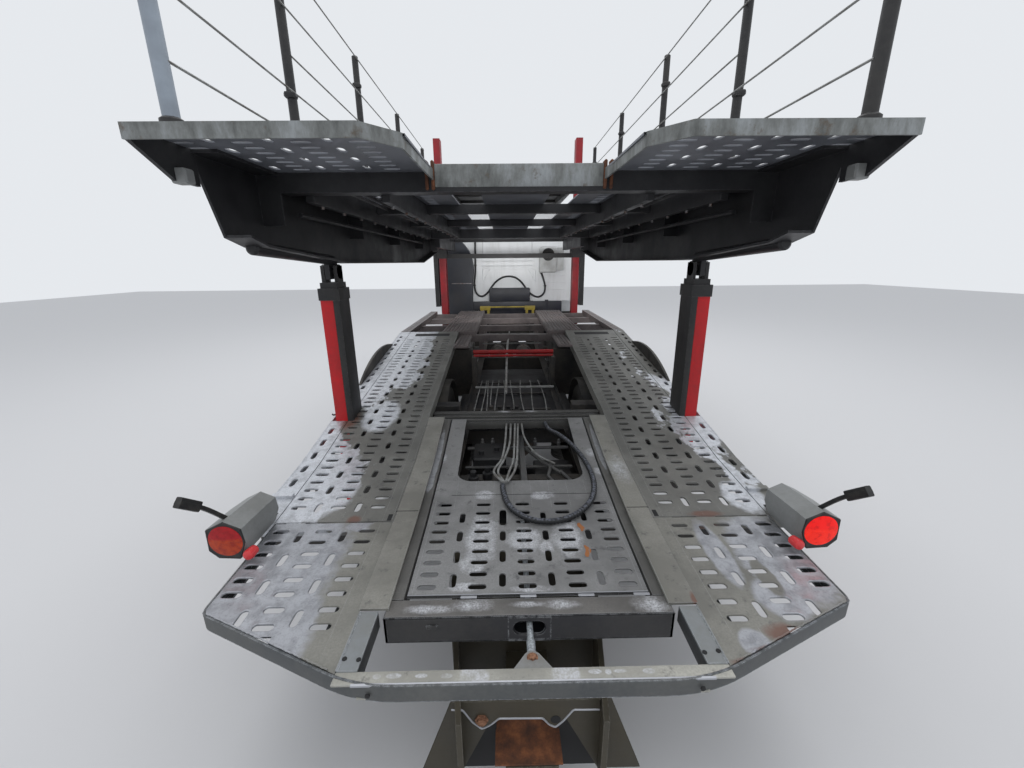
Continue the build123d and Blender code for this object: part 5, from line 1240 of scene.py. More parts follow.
arm_steel = steel_paint("arm_zinc", (0.235, 0.25, 0.26), (0.19, 0.192, 0.18), (0.5, 0.52, 0.56), 0.9)
# The same zinc as the arms, painted much darker for the arms' sides, webs and the slide tubes: painted
# shade under the deck.
arm_painted_shade = steel_paint("arm_side_zinc", (0.05, 0.053, 0.056), (0.075, 0.075, 0.073), (0.3, 0.31, 0.33), 0.9)
arm_rear, arm_front = at(0.05), at(0.276)
arms = [beam((0.534, arm_rear, 0.858), (0.6, arm_front, 0.8665), 0.002),
    beam((0.594, arm_rear, 0.86), (0.6, arm_front, 0.87), 0.002)]
piece("tail_arms", both(*arms), arm_steel, "tail_platform")
arm_webs = [beam((0.534, arm_rear, 0.806), (0.542, arm_front, 0.86), 0.002),
    beam((0.592, arm_rear, 0.806), (0.6, arm_front, 0.86), 0.002),
    beam((0.534, arm_rear, 0.8), (0.575, arm_front, 0.808), 0.002)]
piece("tail_arm_webs", both(*arm_webs), arm_painted_shade, "tail_platform")
# Black discs for the arms' holes: painted shade in the holes.
arm_hole_shades = [turned([(0, 0.0075), (0.0025, 0.0075), (0.003, 0.005)], (x, at(v), 0.8662), (0, 0, 1), 12)
    for x, v in ((0.541, 0.088), (0.586, 0.092))]
piece("tail_arm_holes", both(*arm_hole_shades), seam_and_shade_black, body="tail_platform")

slide_tube = [bar((0.64, 0.115, 0.7905), (0.7, 1.3, 0.85), 0.005),
    bar((0.64, 0.06, 0.848), (0.648, 0.775, 0.86), 0.001)]
piece("slide_tubes", both(*slide_tube), arm_painted_shade, "tail_platform")

# Lock rod
# A bright zinc rod that holds the tail platform to the crossbeam, on a triangular bracket with
# a rusty bolt.
rod_zinc, tree = new_finish("rod_zinc", Metallic=0.55)
rod_specks = grain(tree, 0.012, detail=5, roughness=0.7)
lay(tree, rod_specks, 0.0004,
    Base_Color=ramp(tree, rod_specks, (0.42, (0.62, 0.67, 0.7)), (0.62, (0.25, 0.27, 0.29))),
    Roughness=ramp(tree, rod_specks, (0.4, 0.28), (0.6, 0.5)))
rod_rear = at(0.085)
rod_points, rod_faces = turned([(0, 0.0145), (0.1, 0.0145), (0.1, 0.011), (0.8, 0.011)],
    (0, rod_rear, 0.83), (0, 1, 0), 24)
rod_points[:, 2] -= np.clip((rod_points[:, 1] - rod_rear) / 0.2, 0, 1) * 0.024
piece("lock_rod", [(rod_points, rod_faces)], rod_zinc, "tail_platform")
bracket_zinc = steel_paint("bracket_zinc", (0.26, 0.265, 0.265), (0.155, 0.145, 0.12), (0.4, 0.41, 0.42),
    0.7)
corner_spread = np.array([(-0.064, 0.046), (0.064, 0.046), (0.022, 0.112), (0.008, 0.124), (-0.008, 0.124),
        (-0.022, 0.112)])
lift = np.interp(corner_spread[:, 1], [0.046, 0.124], [0.8605, 0.848])
bracket_top = np.column_stack([corner_spread[:, 0], at(corner_spread[:, 1]), lift])
bracket_plate = tube(np.stack([bracket_top - (0, 0, 0.008), bracket_top]))
piece("rod_bracket", [bracket_plate, bar((-0.016, 0.05, 0.8), (0.016, 0.1, 0.848), 0.002)], bracket_zinc,
    "tail_platform")
rust_iron = clouded("rust_iron", 0.01, [(0.4, (0.3, 0.15, 0.085)), (0.65, (0.12, 0.05, 0.028))],
    (0.004, 0.0006), Roughness=0.85)
bolt_height = 0.85
bolt = [turned([(0, 0.018), (0.004, 0.018)], (0, at(0.094), bolt_height), (0, 0, 1), 20),
    turned([(0, 0.0125), (0.011, 0.0125), (0.013, 0.01)], (0, at(0.094), bolt_height), (0, 0, 1), 6)]
piece("rod_bolt", bolt, rust_iron, "tail_platform")
rim_bolts = [turned([(0, 0.008), (0.004, 0.008), (0.005, 0.005)], (x, at(0.001), 0.832), (0, -1, 0), 8)
    for x in (-0.49, 0.5)]
piece("rim_bolts", rim_bolts, seam_and_shade_black, body="tail_platform")

# Tail lamps
# A wedge-shaped grey housing with a seven-sided black bezel, a round two-colour lens with ribs,
# a small red marker below its inner corner, and a rubber marker arm out to the side.
housing_grey = steel_paint("housing_grey", (0.2, 0.205, 0.2), (0.3, 0.31, 0.31), (0.42, 0.44, 0.45), 0.6)
lamp_x, lamp_z, lamp_rear_y = 1.2, 0.99, at(0.52)
bezel_face = np.array([(-0.075, -0.01), (-0.068, 0.052), (0.0, 0.085), (0.072, 0.05), (0.075, -0.045),
        (0.04, -0.08), (-0.045, -0.085)])
# share of the face's size, distance forward, shift of x, shift of height
housing_steps = [(0.985, 0.0), (1.0, 0.006), (0.98, 0.15, -0.004, -0.002), (0.9, 0.255, -0.01, -0.004)]


def lamp_ring(size, ahead, shift_x=0.0, shift_z=0.0):
    """The face's outline at a share of its size, moved forward, sideways and up."""
    return upright(bezel_face * size + (lamp_x + shift_x, lamp_z + shift_z), lamp_rear_y + ahead)


rings = np.stack([lamp_ring(*step) for step in housing_steps])
foot = [block((1.175, at(0.7), 0.896), (1.245, at(0.775), 0.912)),
    block((1.18, at(0.785), 0.893), (1.24, at(0.838), 0.93)),
    block((1.18, at(0.76), 0.905), (1.24, at(0.8), 0.935))]
made = piece("tail_lamps.housing", both(tube(rings), *foot), housing_grey, smooth=30)
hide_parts("tail_lamps")
bezel_steps = [(0.999, 0.004), (0.985, -0.002), (0.93, -0.002), (0.9, 0.003)]
bezel_fill = tube(np.stack([lamp_ring(*step) for step in bezel_steps]))
bezel_plate = tube(np.stack([lamp_ring(0.93, ahead) for ahead in (-0.0012, 0.004)]))
marker_black = clouded("marker_black", 0.03, [(0.4, (0.012, 0.012, 0.013)), (0.7, (0.035, 0.033, 0.03))],
    Roughness=0.5)
piece("lamp_bezels", both(bezel_fill, bezel_plate), marker_black)

lens_radius, lens_rib = 0.068, 0.0085


def lamp_lens(name, x, finish):
    """A round lens, domed a little and ribbed: its depth falls with the square of the radius
    and ripples with the height."""
    radius = np.linspace(lens_radius, 0.002, 16)[:, None]
    turn = np.linspace(0, 2 * np.pi, 56, endpoint=False)
    flat_x = radius * np.cos(turn)
    flat_z = radius * np.sin(turn)
    ripple = 0.0012 * np.cos(flat_z / lens_rib * 2 * np.pi) * (radius < 0.062)
    bulge = 0.006 * (1 - (radius / lens_radius) ** 2) + ripple
    front = np.stack([x + flat_x, lamp_rear_y - 0.002 - bulge, lamp_z + flat_z], axis=-1)
    return piece(name, [tube(front)], finish, smooth=60)


def lens_finish(name, upper, lower, glow):
    """Lens plastic: one colour above a level and another below, cloudy, with a faint glow."""
    made, tree = new_finish(name, Roughness=0.18, Specular_IOR_Level=0.3)
    x, y, z = apart(tree)
    split = node_of(tree, "ShaderNodeMapRange",
        [(0, z), (1, lamp_z + 0.004), (2, lamp_z + 0.014)]).outputs[0]
    colour = blended(tree, split, lower, upper)
    colour = blended(tree, ramp(tree, grain(tree, 0.02), (0.42, 0.0), (0.66, 0.6)), colour,
        tuple(0.55 * c for c in upper))
    lay(tree, grain(tree, 0.008), 0.0006, Base_Color=colour, Emission_Color=colour)
    tree.nodes["Principled BSDF"].inputs["Emission Strength"].default_value = glow
    return made


lens_dim = lens_finish("lens_dim", (0.36, 0.01, 0.014), (0.42, 0.045, 0.01), 0.1)
lens_lit = lens_finish("lens_lit", (0.74, 0.007, 0.005), (0.78, 0.016, 0.005), 0.55)
lamp_lens("lens_left", -lamp_x, lens_dim)
lamp_lens("lens_right", lamp_x, lens_lit)
small_red = new_finish("small_red", Roughness=0.25, Base_Color=(0.68, 0.045, 0.05, 1))[0]
small_lamp = turned([(0, 0.02), (0.035, 0.022), (0.045, 0.019), (0.05, 0.01)], (1.112, at(0.545), 0.93),
    (0, -1, 0.1), 20)
piece("small_lamps", both(small_lamp), small_red)
arm_start, arm_elbow, arm_end = (1.222, 0.575, 1.06), (1.246, 0.505, 1.15), (1.262, 0.42, 1.226)
flat_band = ring_of(rectangle((-0.015, -0.008), (0.015, 0.008)), 0.004)
marker_line = threaded([(x, at(v), z) for x, v, z in (arm_start, arm_elbow, arm_end)], 16)
head_line = np.array([(1.2495, at(0.49), 1.166), (1.2615, at(0.42), 1.228)])
marker_head = swept(ring_of(rectangle((-0.013, -0.02), (0.013, 0.02)), 0.006), head_line)
piece("marker_arms", both(swept(flat_band, marker_line), marker_head), marker_black)

# Low coupling under the tail
# Two flared plates and a tongue that carry the coupling for a trailer's drawbar, with a pressed
# cross plate in the shape of a hat and black sheets behind that stand for the shade under the
# truck (painted shade). All of it is dirty, and the tongue is rusty.
carrier_paint = steel_paint("carrier_paint", (0.046, 0.04, 0.027), (0.066, 0.056, 0.037),
    (0.18, 0.17, 0.15), 0.8)
dress(carrier_paint, "coupling_carrier")
leg_station, backing_station, plate_gauge = 0.15, 0.178, 0.008
leg_bottom, backing_bottom = 0.262, 0.24


def upright_sheet(lower, upper, station, gauge=plate_gauge):
    """A sheet that faces the rear, between a lower and an upper line of x and height with as
    many points each: its rings run from line to line on the rear face and back on the front."""
    rear, front = at(station), at(station + gauge)
    rings = [upright(line, y) for line, y in ((lower, rear), (upper, rear), (upper, front), (lower, front))]
    return outward(*patch(np.stack(rings, axis=1), around=True))


hat_profile = [(-0.274, 0.578), (-0.236, 0.576), (-0.205, 0.52), (-0.172, 0.486), (-0.14, 0.505),
    (-0.112, 0.533), (0.04, 0.53), (0.062, 0.5), (0.085, 0.486), (0.112, 0.515), (0.146, 0.566),
    (0.236, 0.564)]
hat_sheet = upright_sheet(hat_profile, [(x, 0.612) for x, _ in hat_profile], leg_station - 0.01)
left_leg = upright_sheet([(-0.398, leg_bottom), (-0.25, leg_bottom)], [(-0.274, 0.605), (-0.12, 0.56)],
    leg_station)
right_leg = upright_sheet([(0.246, leg_bottom), (0.402, leg_bottom)], [(0.1, 0.56), (0.276, 0.605)],
    leg_station)
piece("carrier_legs", [hat_sheet, left_leg, right_leg], carrier_paint)
# Painted shade: black sheets behind the legs stand for the darkness under the truck seen between the legs
# and the tongue.
shade_sheets = [upright_sheet([(low, backing_bottom), (low_end, backing_bottom)],
        [(high, 0.618), (high_end, 0.618)], backing_station)
    for low, low_end, high, high_end in ((-0.262, -0.126, -0.262, -0.121), (0.104, 0.262, 0.09, 0.262))]
piece("carrier_painted_shade", shade_sheets, seam_and_shade_black)
hat_y = at(leg_station - 0.01)
hat_line = np.array([(x, hat_y, z) for x, z in hat_profile])
# A painted highlight along the hat plate's lower edge.
bright_hat = pipe(0.0035, 8, bent_path(hat_line, [0.006] * 10, 3), up=(0, -1, 0))
piece("hat_edge", [bright_hat], painted_edge_highlight)
hat_bolts = [turned([(0, 0.024), (0.006, 0.024), (0.006, 0.016), (0.014, 0.016), (0.016, 0.011)],
        (-0.172, hat_y, 0.53), (0, -1, 0), 6)]
piece("hat_bolt", hat_bolts, rust_iron)
# A black disc for the hole in the hat plate: painted shade in the hole.
hat_hole = turned([(0, 0.018), (0.001, 0.018)], (0.085, hat_y, 0.522), (0, -1, 0), 20)
piece("hat_hole", [hat_hole], seam_and_shade_black)
tongue_rust = [bar((-0.126, 0.064, 0.4205), (0.104, 0.295, 0.4265), 0.001)]
rust_plate, tree = new_finish("rust_plate", Roughness=0.85)
lay(tree, grain(tree, 0.004), 0.0005,
    Base_Color=ramp(tree, grain(tree, 0.06, detail=6, roughness=0.7), (0.35, (0.06, 0.028, 0.018)),
        (0.52, (0.13, 0.048, 0.022)), (0.7, (0.26, 0.095, 0.036))))
piece("tongue_face", tongue_rust, rust_plate)

# Lifting gear
# Rear sockets red on the outside and black on the inside, with a black collar. Front masts red on
# flared feet, with a black carriage that slides on them.
mast_red = steel_paint("mast_red", (0.34, 0.01, 0.018), (0.15, 0.022, 0.024), (0.22, 0.13, 0.12), 0.6)
post_red = steel_paint("post_red", (0.6, 0.006, 0.012), (0.36, 0.02, 0.022), (0.28, 0.16, 0.15), 0.5)
lift_black = steel_paint("lift_black", (0.014, 0.014, 0.016), (0.04, 0.038, 0.036), (0.16, 0.15, 0.15), 0.7)
dress(lift_black, "rear_telescopes", "lift_carriage")


def level_ring(outline, height):
    """An outline of x and station, laid at one height."""
    flat = np.asarray(outline, float)
    return np.column_stack([flat[:, 0], at(flat[:, 1]), np.full(len(flat), height)])


def facing_side(outline, x):
    """An outline of station and height, stood up at one x."""
    flat = np.asarray(outline, float)
    return np.column_stack([np.full(len(flat), x), at(flat[:, 0]), flat[:, 1]])


def prism(outline, low, high):
    """An outline of x and station raised from one height to another."""
    return tube(np.stack([level_ring(outline, z) for z in (low, high)]))


def half_shell(outer_x, inner_x, spare):
    """Half of a socket's wall in plan, from its parting to one side: three outer faces and the
    same three inside, one wall further in. The outer faces stand out by a spare at both ends."""
    low, high = post_s[0] - spare, post_s[1] + spare
    inner_low, inner_high = post_s[0] + post_wall, post_s[1] - post_wall
    return ring_of([(post_parting, low), (outer_x, low), (outer_x, high), (post_parting, high),
            (post_parting, inner_high), (inner_x, inner_high), (inner_x, inner_low),
            (post_parting, inner_low)], 0.004)


post_x, post_s = (1.12, 1.24), (1.776, 1.956)
post_parting, post_wall = 1.16, 0.008
post_low, post_high, collar_low = 0.4, 1.9, 1.83
outer_half_shell = half_shell(post_x[1], post_x[1] - post_wall, 0.0)
inner_half_shell = half_shell(post_x[0], post_x[0] + post_wall, 0.001)
made = piece("lift_columns.posts", both(prism(outer_half_shell, post_low, collar_low)), post_red)
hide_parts("lift_columns")
post_corners = list(zip(post_x, post_s))
collar_outer = ring_of(rectangle(*post_corners, 0.008), 0.01)
collar_inner = ring_of(rectangle(*post_corners, -post_wall), 0.002)
collar_foot = collar_low - 0.004
collar = looped([level_ring(flat, z)
        for flat, z in ((collar_outer, collar_foot), (collar_outer, post_high), (collar_inner, post_high),
            (collar_inner, collar_foot))])
black_sides = [prism(inner_half_shell, post_low, collar_low), collar]
piece("post_guards", both(*black_sides), lift_black)
socket_arm = bar((0.43, 1.806, 0.66), (post_x[0], 1.926, 0.76), 0.005)
mast_x, mast_s = (1.02, 1.12), (6.076, 6.256)
mast_top, mast_low = 3.82, 0.86
mast = prism(ring_of(rectangle(*zip(mast_x, mast_s)), 0.005), mast_low, mast_top)
foot_rings = [level_ring(rectangle((mast_x[0] - flare, mast_s[0]), (mast_x[1] + flare, mast_s[1])), z)
    for flare, z in ((0.03, 0.86), (0.026, 0.92), (0.0005, 1.09))]
piece("masts", both(mast, tube(np.array(foot_rings))), mast_red)
hinge_plate = [(mast_s[1], 3.1), (6.43, 3.12), (6.47, 3.16), (6.43, 3.2), (mast_s[1], 3.25)]
hinge_rings = [facing_side(hinge_plate, x) for x in mast_x]
hinge_pin = turned([(0, 0.02), (0.07, 0.02)], (0.96, at(6.43), 3.16), (1, 0, 0), 16)
piece("mast_brackets", both(socket_arm, tube(np.array(hinge_rings)), hinge_pin), lift_black)
hook = pipe(0.006, 8, [(-1.241, at(1.8), 1.055), (-1.262, at(1.8), 1.05), (-1.272, at(1.8), 1.056)])
piece("post_hook", [hook], lift_black)
telescope_eyes = [turned([(0, 0.046), (0.021, 0.046)], (x, at(1.866), 2.0), (1, 0, 0), 24)
    for x in (1.1285, 1.2105)]
piece("telescope_eyes", both(*telescope_eyes), lift_black, body="rear_telescopes")

# Upper deck
# Slotted tracks seen mostly from below, with light through the slots, on black side beams and
# crossmembers. Their rear edge is folded down in a grey band with streaks of rust.
upper_frame_paint = steel_paint("upper_frame_paint", (0.012, 0.012, 0.014), (0.03, 0.03, 0.032),
    (0.12, 0.12, 0.13), 0.6)
dress(upper_frame_paint, "upper_deck_frame")
upper_steel, tree = new_finish("upper_steel")
upper_clouds = grain(tree, 0.35, detail=7, roughness=0.68)
upper_specks = grain(tree, 0.02, detail=5, roughness=0.7)
looks_up = upness(tree)
# Painted shade: the undersides get a darker, bluer colour than the tops, chosen by how far the surface
# faces up.
below = ramp(tree, upper_clouds, (0.38, (0.095, 0.1, 0.115)), (0.62, (0.19, 0.2, 0.225)))
above = ramp(tree, upper_specks, (0.38, (0.16, 0.16, 0.155)), (0.62, (0.28, 0.28, 0.28)))
lay(tree, upper_specks, 0.0005,
    Base_Color=blended(tree, ramp(tree, looks_up, (0.3, 0.0), (0.7, 1.0)), below, above),
    Roughness=ramp(tree, upper_clouds, (0.3, 0.35), (0.7, 0.6)))
upper_top, upper_plate = 2.454, 0.008
upper_rear, upper_step, upper_end = 0.481, 5.98, 6.37
joint_rear, joint_front = 4.65, 4.69
upper_inner, upper_neck = 0.39, 0.95
splay = [(0.505, 0.481), (0.4, 0.606)]
upper_half_column = 0.04925
upper_first, upper_rows_start = 0.56, 0.566
upper_rim = [(0.002, 0.0), (0.0, -0.002)]
upper_level = lambda s: np.full(np.shape(s), upper_top)
shells = [plain_strip(0.505, 0.51075, upper_rear, joint_rear, upper_plate),
    plain_strip(0.4, 0.505, (splay[1][1], splay[0][1]), joint_rear, upper_plate),
    plain_strip(upper_inner, 0.4, splay[1][1], joint_rear, upper_plate),
    plain_strip(upper_inner, 0.51075, joint_front, upper_end, upper_plate)]
for index in range(7):
    kind = "along" if index % 2 else "across"
    centre = upper_first + 2 * upper_half_column * index
    per = 2 if kind == "along" else 1
    shells += slotted_column(centre, kind, level_at(upper_rear), level_at(joint_rear), upper_rim,
        upper_plate, (), 3, slot_pitch, upper_rows_start, 56 // per, upper_half_column)
    front = upper_end if centre + upper_half_column < upper_neck else upper_step
    shells += slotted_column(centre, kind, level_at(joint_front), level_at(front), upper_rim, upper_plate,
        (), 3, slot_pitch, 4.76, (22 if front == upper_end else 16) // per, upper_half_column)
upper_plates = [placed(one_plate(shells), upper_level, side) for side in (1, -1)]
walkways = [block((-0.21, at(rear), upper_top - upper_plate), (0.21, at(front), upper_top))
    for rear, front in ((1.166, joint_rear), (joint_front, upper_end))]
made = piece("upper_deck_plates.slotted", [*upper_plates, *walkways], upper_steel,
    "upper_deck", 50)
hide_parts("upper_deck_plates")

edge_zinc, tree = new_finish("edge_zinc", Roughness=0.55)
edge_clouds = grain(tree, 0.1, stretch=(1, 1, 0.4), detail=7, roughness=0.7)
edge_rust = ramp(tree, grain(tree, 0.05, detail=5, roughness=0.7, offset=(3, 3, 3)), (0.58, 0.0),
    (0.7, 0.8))
lay(tree, edge_clouds, 0.0006,
    Base_Color=blended(tree, edge_rust,
        ramp(tree, edge_clouds, (0.36, (0.1, 0.105, 0.1)), (0.5, (0.195, 0.205, 0.2)),
            (0.64, (0.31, 0.33, 0.34))), (0.105, 0.08, 0.058)))
flange_low, flange_high = 2.41, 2.4555
edge_band = rectangle((-0.003, flange_low), (0.0055, flange_high))


def edge_run(plan):
    """A flange carried along a plan of x and station: its section is the way square to the run
    in plan, and the height."""
    plan = np.asarray(plan, float)
    path = np.column_stack([plan[:, 0], at(plan[:, 1]), np.zeros(len(plan))])
    return swept(edge_band, path)


rear_run = bent_path([(1.199, 0.4825), (0.505, 0.4825), (0.401, 0.606), (0.392, 1.166)], [0.004, 0.004], 3)
piece("upper_edges", both(edge_run(rear_run)), edge_zinc, "upper_deck", 25)
side_rails = block((1.192, at(0.4815), 2.425), (1.2005, at(0.752), 2.4555))
rear_member = bar((-0.389, 1.163, 2.38), (0.389, 1.24, 2.478), 0.006)
piece("upper_rear_member", both(side_rails) + [rear_member], edge_zinc, "upper_deck")
clamp_rust = [bar((0.385 + shift, 1.155, 2.368), (0.4 + shift, 1.2, 2.492), 0.005)
    for shift in (0.0, 0.028)]
piece("member_clamps", both(*clamp_rust), rust_plate, body="upper_deck")
side_tube = turned([(0, 0.02), (0.01, 0.03), (0.86, 0.03)], (1.16, at(0.98), 2.118), (0, 1, -0.055), 18)
edge_boxes = bar((1.15, 0.65, 2.318), (1.205, 0.7, 2.368), 0.006)
skirt = [(0.484, 2.448), (0.484, 2.413), (0.65, 2.325), (0.77, 2.325), (0.77, 2.448)]
light_boxes = tube(np.stack([facing_side(skirt, x) for x in (1.184, 1.198)]))
piece("side_tubes", both(side_tube, light_boxes), upper_frame_paint, body="upper_deck")
piece("edge_boxes", both(edge_boxes), housing_grey, "upper_deck")
hidden_rails = [bar((x, 1.26, 2.33), (x + 0.04, 4.58, 2.446), 0.003) for x in (0.62, 0.98)]
pipe_runs = [pipe(0.012, 8, [(x, at(1.3), z), (x, at(4.55), z)])
    for x, z in ((0.9, 2.415), (0.86, 2.425), (1.075, 2.28))]
piece("upper_stringers", both(*hidden_rails, *pipe_runs), upper_frame_paint, body="upper_deck")
glints = [turned([(0, 0.01), (0.012, 0.01), (0.014, 0.006)], (x, at(v), 2.33), (0, 0, -1), 8)
    for x in (0.64, 1.0) for v in np.arange(1.4, 4.5, 0.3)]
piece("stringer_bolts", both(*glints), nut_metal, "upper_deck")

# Stanchions and their wires
# Round black tubes with clips, the rearmost on the left newer and bare grey, and thin steel
# wires that run level from tube to tube.
stanchion_stations = [0.64, 1.56, 2.7, 3.95, 5.3]
stanchion_x, stanchion_low = 1.15, 2.454
# rear and front station, height
wire_runs = [(0.64, 1.56, 2.67), (0.64, 2.7, 2.885), (1.56, 5.3, 3.05), (0.64, 5.3, 3.255),
    (1.56, 5.3, 3.48)]
stanchion_black = steel_paint("stanchion_black", (0.018, 0.018, 0.02), (0.05, 0.048, 0.046),
    (0.2, 0.2, 0.2), 0.6)
post_grey = clouded("post_grey", 0.12, [(0.35, (0.34, 0.39, 0.45)), (0.75, (0.24, 0.27, 0.31))], detail=6,
    Metallic=0.3, Roughness=0.5)
black_tubes, grey_tubes, clips, wires = [], [], [], []
for side in (1, -1):
    for index, station in enumerate(stanchion_stations):
        grey = side == -1 and index == 0
        x, y = side * stanchion_x, at(station)
        shaft = turned([(0, 0.0255 if grey else 0.024), (1.046, 0.0255 if grey else 0.022), (1.05, 0.018)],
            (x, y, stanchion_low), (0, 0, 1), 16)
        (grey_tubes if grey else black_tubes).append(shaft)
        black_tubes.append(turned([(0, 0.038), (0.05, 0.036), (0.056, 0.028)], (x, y, stanchion_low),
                (0, 0, 1), 16))
        clips += [beam((x - 0.03, y - 0.032, height), (x + 0.03, y + 0.012, height + 0.03), 0.008)
            for height in (2.86, 3.3)]
    x = side * (stanchion_x - 0.022)
    wires += [pipe(0.0045, 6, [(x, at(rear), height), (x, at(front), height)])
        for rear, front, height in wire_runs]
made = piece("stanchions.black", black_tubes, stanchion_black, body="upper_deck")
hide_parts("stanchions")
piece("stanchion_grey", grey_tubes, post_grey, "upper_deck")
piece("stanchion_clips", clips, stanchion_black, body="upper_deck")
piece("safety_wires", wires, cable_grey, "upper_deck")

# Head rack
# Two tracks over the cab, black and rusty, with slots pressed through them.
rack_paint = steel_paint("rack_paint", (0.03, 0.03, 0.032), (0.07, 0.065, 0.058), (0.22, 0.2, 0.19), 0.7)
dress(rack_paint, "head_rack")
rack_rims = [turned([(-0.0005, 0.018), (0.004, 0.02), (0.004, 0.014)], (x, at(v), 3.26), (0, 0, 1), 10)
    for x in (0.55, 0.8, 1.05) for v in np.arange(6.6, 9.3, 0.16)]
piece("rack_rims", both(*rack_rims), rack_paint, body="head_rack")

# Cab
# A white sleeper cab with a thin clear coat and streaks of grime all over. The doors have black
# handles and rubber seals, and the windscreen has a rubber frame and two wipers.
cab_white, tree = new_finish("cab_white", Specular_IOR_Level=0.5, Coat_Weight=0.25, Coat_Roughness=0.15)
cab_clouds = grain(tree, 0.5, detail=6, roughness=0.6)
cab_streaks = grain(tree, 0.08, stretch=(1, 1, 0.15), detail=5, roughness=0.65)
cab_dirt = ramp(tree, product(tree, cab_clouds, cab_streaks), (0.22, 0.0), (0.4, 0.35))
lay(tree, None, Base_Color=blended(tree, cab_dirt, (0.8, 0.82, 0.83), (0.5, 0.5, 0.48)),
    Roughness=ramp(tree, cab_streaks, (0.35, 0.3), (0.7, 0.5)))
dress(cab_white, "cab_shell", "door_left", "door_right")
black_plastic = clouded("black_plastic", 0.25, [(0.35, (0.018, 0.018, 0.019)), (0.7, (0.05, 0.047, 0.044))],
    (0.003, 0.0002), (0.15, (0.3, 0.45), (0.7, 0.7)), 6, Specular_IOR_Level=0.4)
dress(black_plastic, "front_bumper", "grille", "mirrors", "cab_interior")
pane_glass = new_finish("pane_glass", Transmission_Weight=1.0, Roughness=0.02, IOR=1.3,
    Base_Color=(0.72, 0.8, 0.79, 1))[0]
dress(pane_glass, "windscreen", "door_glass_left", "door_glass_right")
lamp_glass = clouded("lamp_glass", 0.04, [(0.4, (0.62, 0.66, 0.7)), (0.65, (0.3, 0.33, 0.36))],
    (0.015, 0.002), Roughness=0.08, Metallic=0.35)
dress(lamp_glass, "headlamps")

skin = 1.235
handle_shells = [bar((skin - 0.002, 7.79, 1.76), (skin + 0.016, 7.96, 1.8), 0.008),
    bar((skin - 0.001, 7.775, 1.75), (skin + 0.004, 7.975, 1.812), 0.003)]
for hand, sign in (("right", 1), ("left", -1)):
    shells = handle_shells if sign == 1 else [mirrored(shell) for shell in handle_shells]
    piece(f"door_handle_{hand}", shells, black_plastic, f"door_{hand}")
seal_ring = ring_of([(7.832, 1.902), (8.668, 1.902), (8.668, 2.008), (8.46, 2.608), (7.832, 2.608)], 0.03,
    5)
seal_middle = seal_ring.mean(axis=0)
seal_inner = seal_middle + (seal_ring - seal_middle) * 0.965
for hand, sign in (("right", 1), ("left", -1)):
    seal = looped([facing_side(flat, sign * x)
            for flat, x in ((seal_ring, skin), (seal_ring, skin + 0.004), (seal_inner, skin + 0.004),
                (seal_inner, skin - 0.012))])
    piece(f"window_seal_{hand}", [seal], black_plastic, f"door_{hand}")

face_low, face_high = (8.9, 2.0), (8.62, 2.9)


def on_screen(x, height, off):
    """A point off the windscreen's plane: the face's line between two heights, moved square to it."""
    share = (height - face_low[1]) / (face_high[1] - face_low[1])
    station = face_low[0] + share * (face_high[0] - face_low[0])
    slope = (face_high[0] - face_low[0]) / (face_high[1] - face_low[1])
    length = math.hypot(1, slope)
    return x, at(station) + off / length, height - off * slope / length


screen_ring, screen_middle = ring_of(rectangle((-1.058, 2.033), (1.058, 2.777)), 0.06, 6), 2.405
frame_loops = [[on_screen(x * size_x, screen_middle + (z - screen_middle) * size_z, off)
        for x, z in screen_ring]
    for size_x, size_z, off in ((1.012, 1.018, -0.004), (1.012, 1.018, 0.004), (0.985, 0.975, 0.004),
        (0.985, 0.975, -0.01))]
piece("windscreen_seal", [looped(frame_loops)], black_plastic)
wipers = []
for foot, tip in ((-0.75, -0.12), (0.1, 0.75)):
    arm_path = [on_screen(foot, 2.01, 0.012), on_screen(foot + 0.25 * (tip - foot), 2.1, 0.02),
        on_screen(0.5 * (foot + tip) + 0.05, 2.2, 0.02)]
    blade = [on_screen(foot + 0.1, 2.235, 0.01), on_screen(tip, 2.075, 0.01)]
    wipers += [pipe(0.008, 8, arm_path), pipe(0.01, 8, np.linspace(blade[0], blade[1], 5))]
piece("wipers", wipers, black_plastic)
grab_bar = pipe(0.012, 10,
    [(skin + off, at(7.64), z) for off, z in ((0.001, 1.55), (0.045, 1.6), (0.045, 2.25), (0.001, 2.3))])
piece("grab_bars", both(grab_bar), black_plastic)
mirror_face = new_finish("mirror_face", Metallic=1.0, Roughness=0.06, Base_Color=(0.75, 0.78, 0.8, 1))[0]
mirror_glass = [bar((1.298, 8.8015, low), (1.392, 8.8065, high), 0.002)
    for low, high in ((2.06, 2.4), (1.87, 2.045))]
piece("mirror_faces", both(*mirror_glass), mirror_face)
seat_cloth = clouded("seat_cloth", 0.02, [(0.4, (0.055, 0.058, 0.065)), (0.6, (0.085, 0.088, 0.095))],
    (0.004, 0.0008), Roughness=0.9)
cushions = [bar((x - 0.215, 7.79, 1.636), (x + 0.215, 8.21, 1.655), 0.008) for x in (-0.64, 0.64)]
piece("seat_cushions", cushions, seat_cloth)
wheel_turn = np.linspace(0, 2 * np.pi, 41)
wheel_x, wheel_y, wheel_z = -0.64, at(8.43), 1.9
wheel_ring_path = np.column_stack([wheel_x + 0.225 * np.cos(wheel_turn),
        wheel_y + 0.12 * np.sin(wheel_turn), wheel_z + 0.19 * np.sin(wheel_turn)])
steering = [pipe(0.015, 8, wheel_ring_path, up=(1, 0.1, 0)),
    pipe(0.03, 10, [(wheel_x, wheel_y, wheel_z), (wheel_x, at(8.565), 1.82)]),
    pipe(0.011, 8, [(wheel_x - 0.21, wheel_y, wheel_z), (wheel_x + 0.21, wheel_y, wheel_z)])]
piece("steering_wheel", steering, black_plastic)

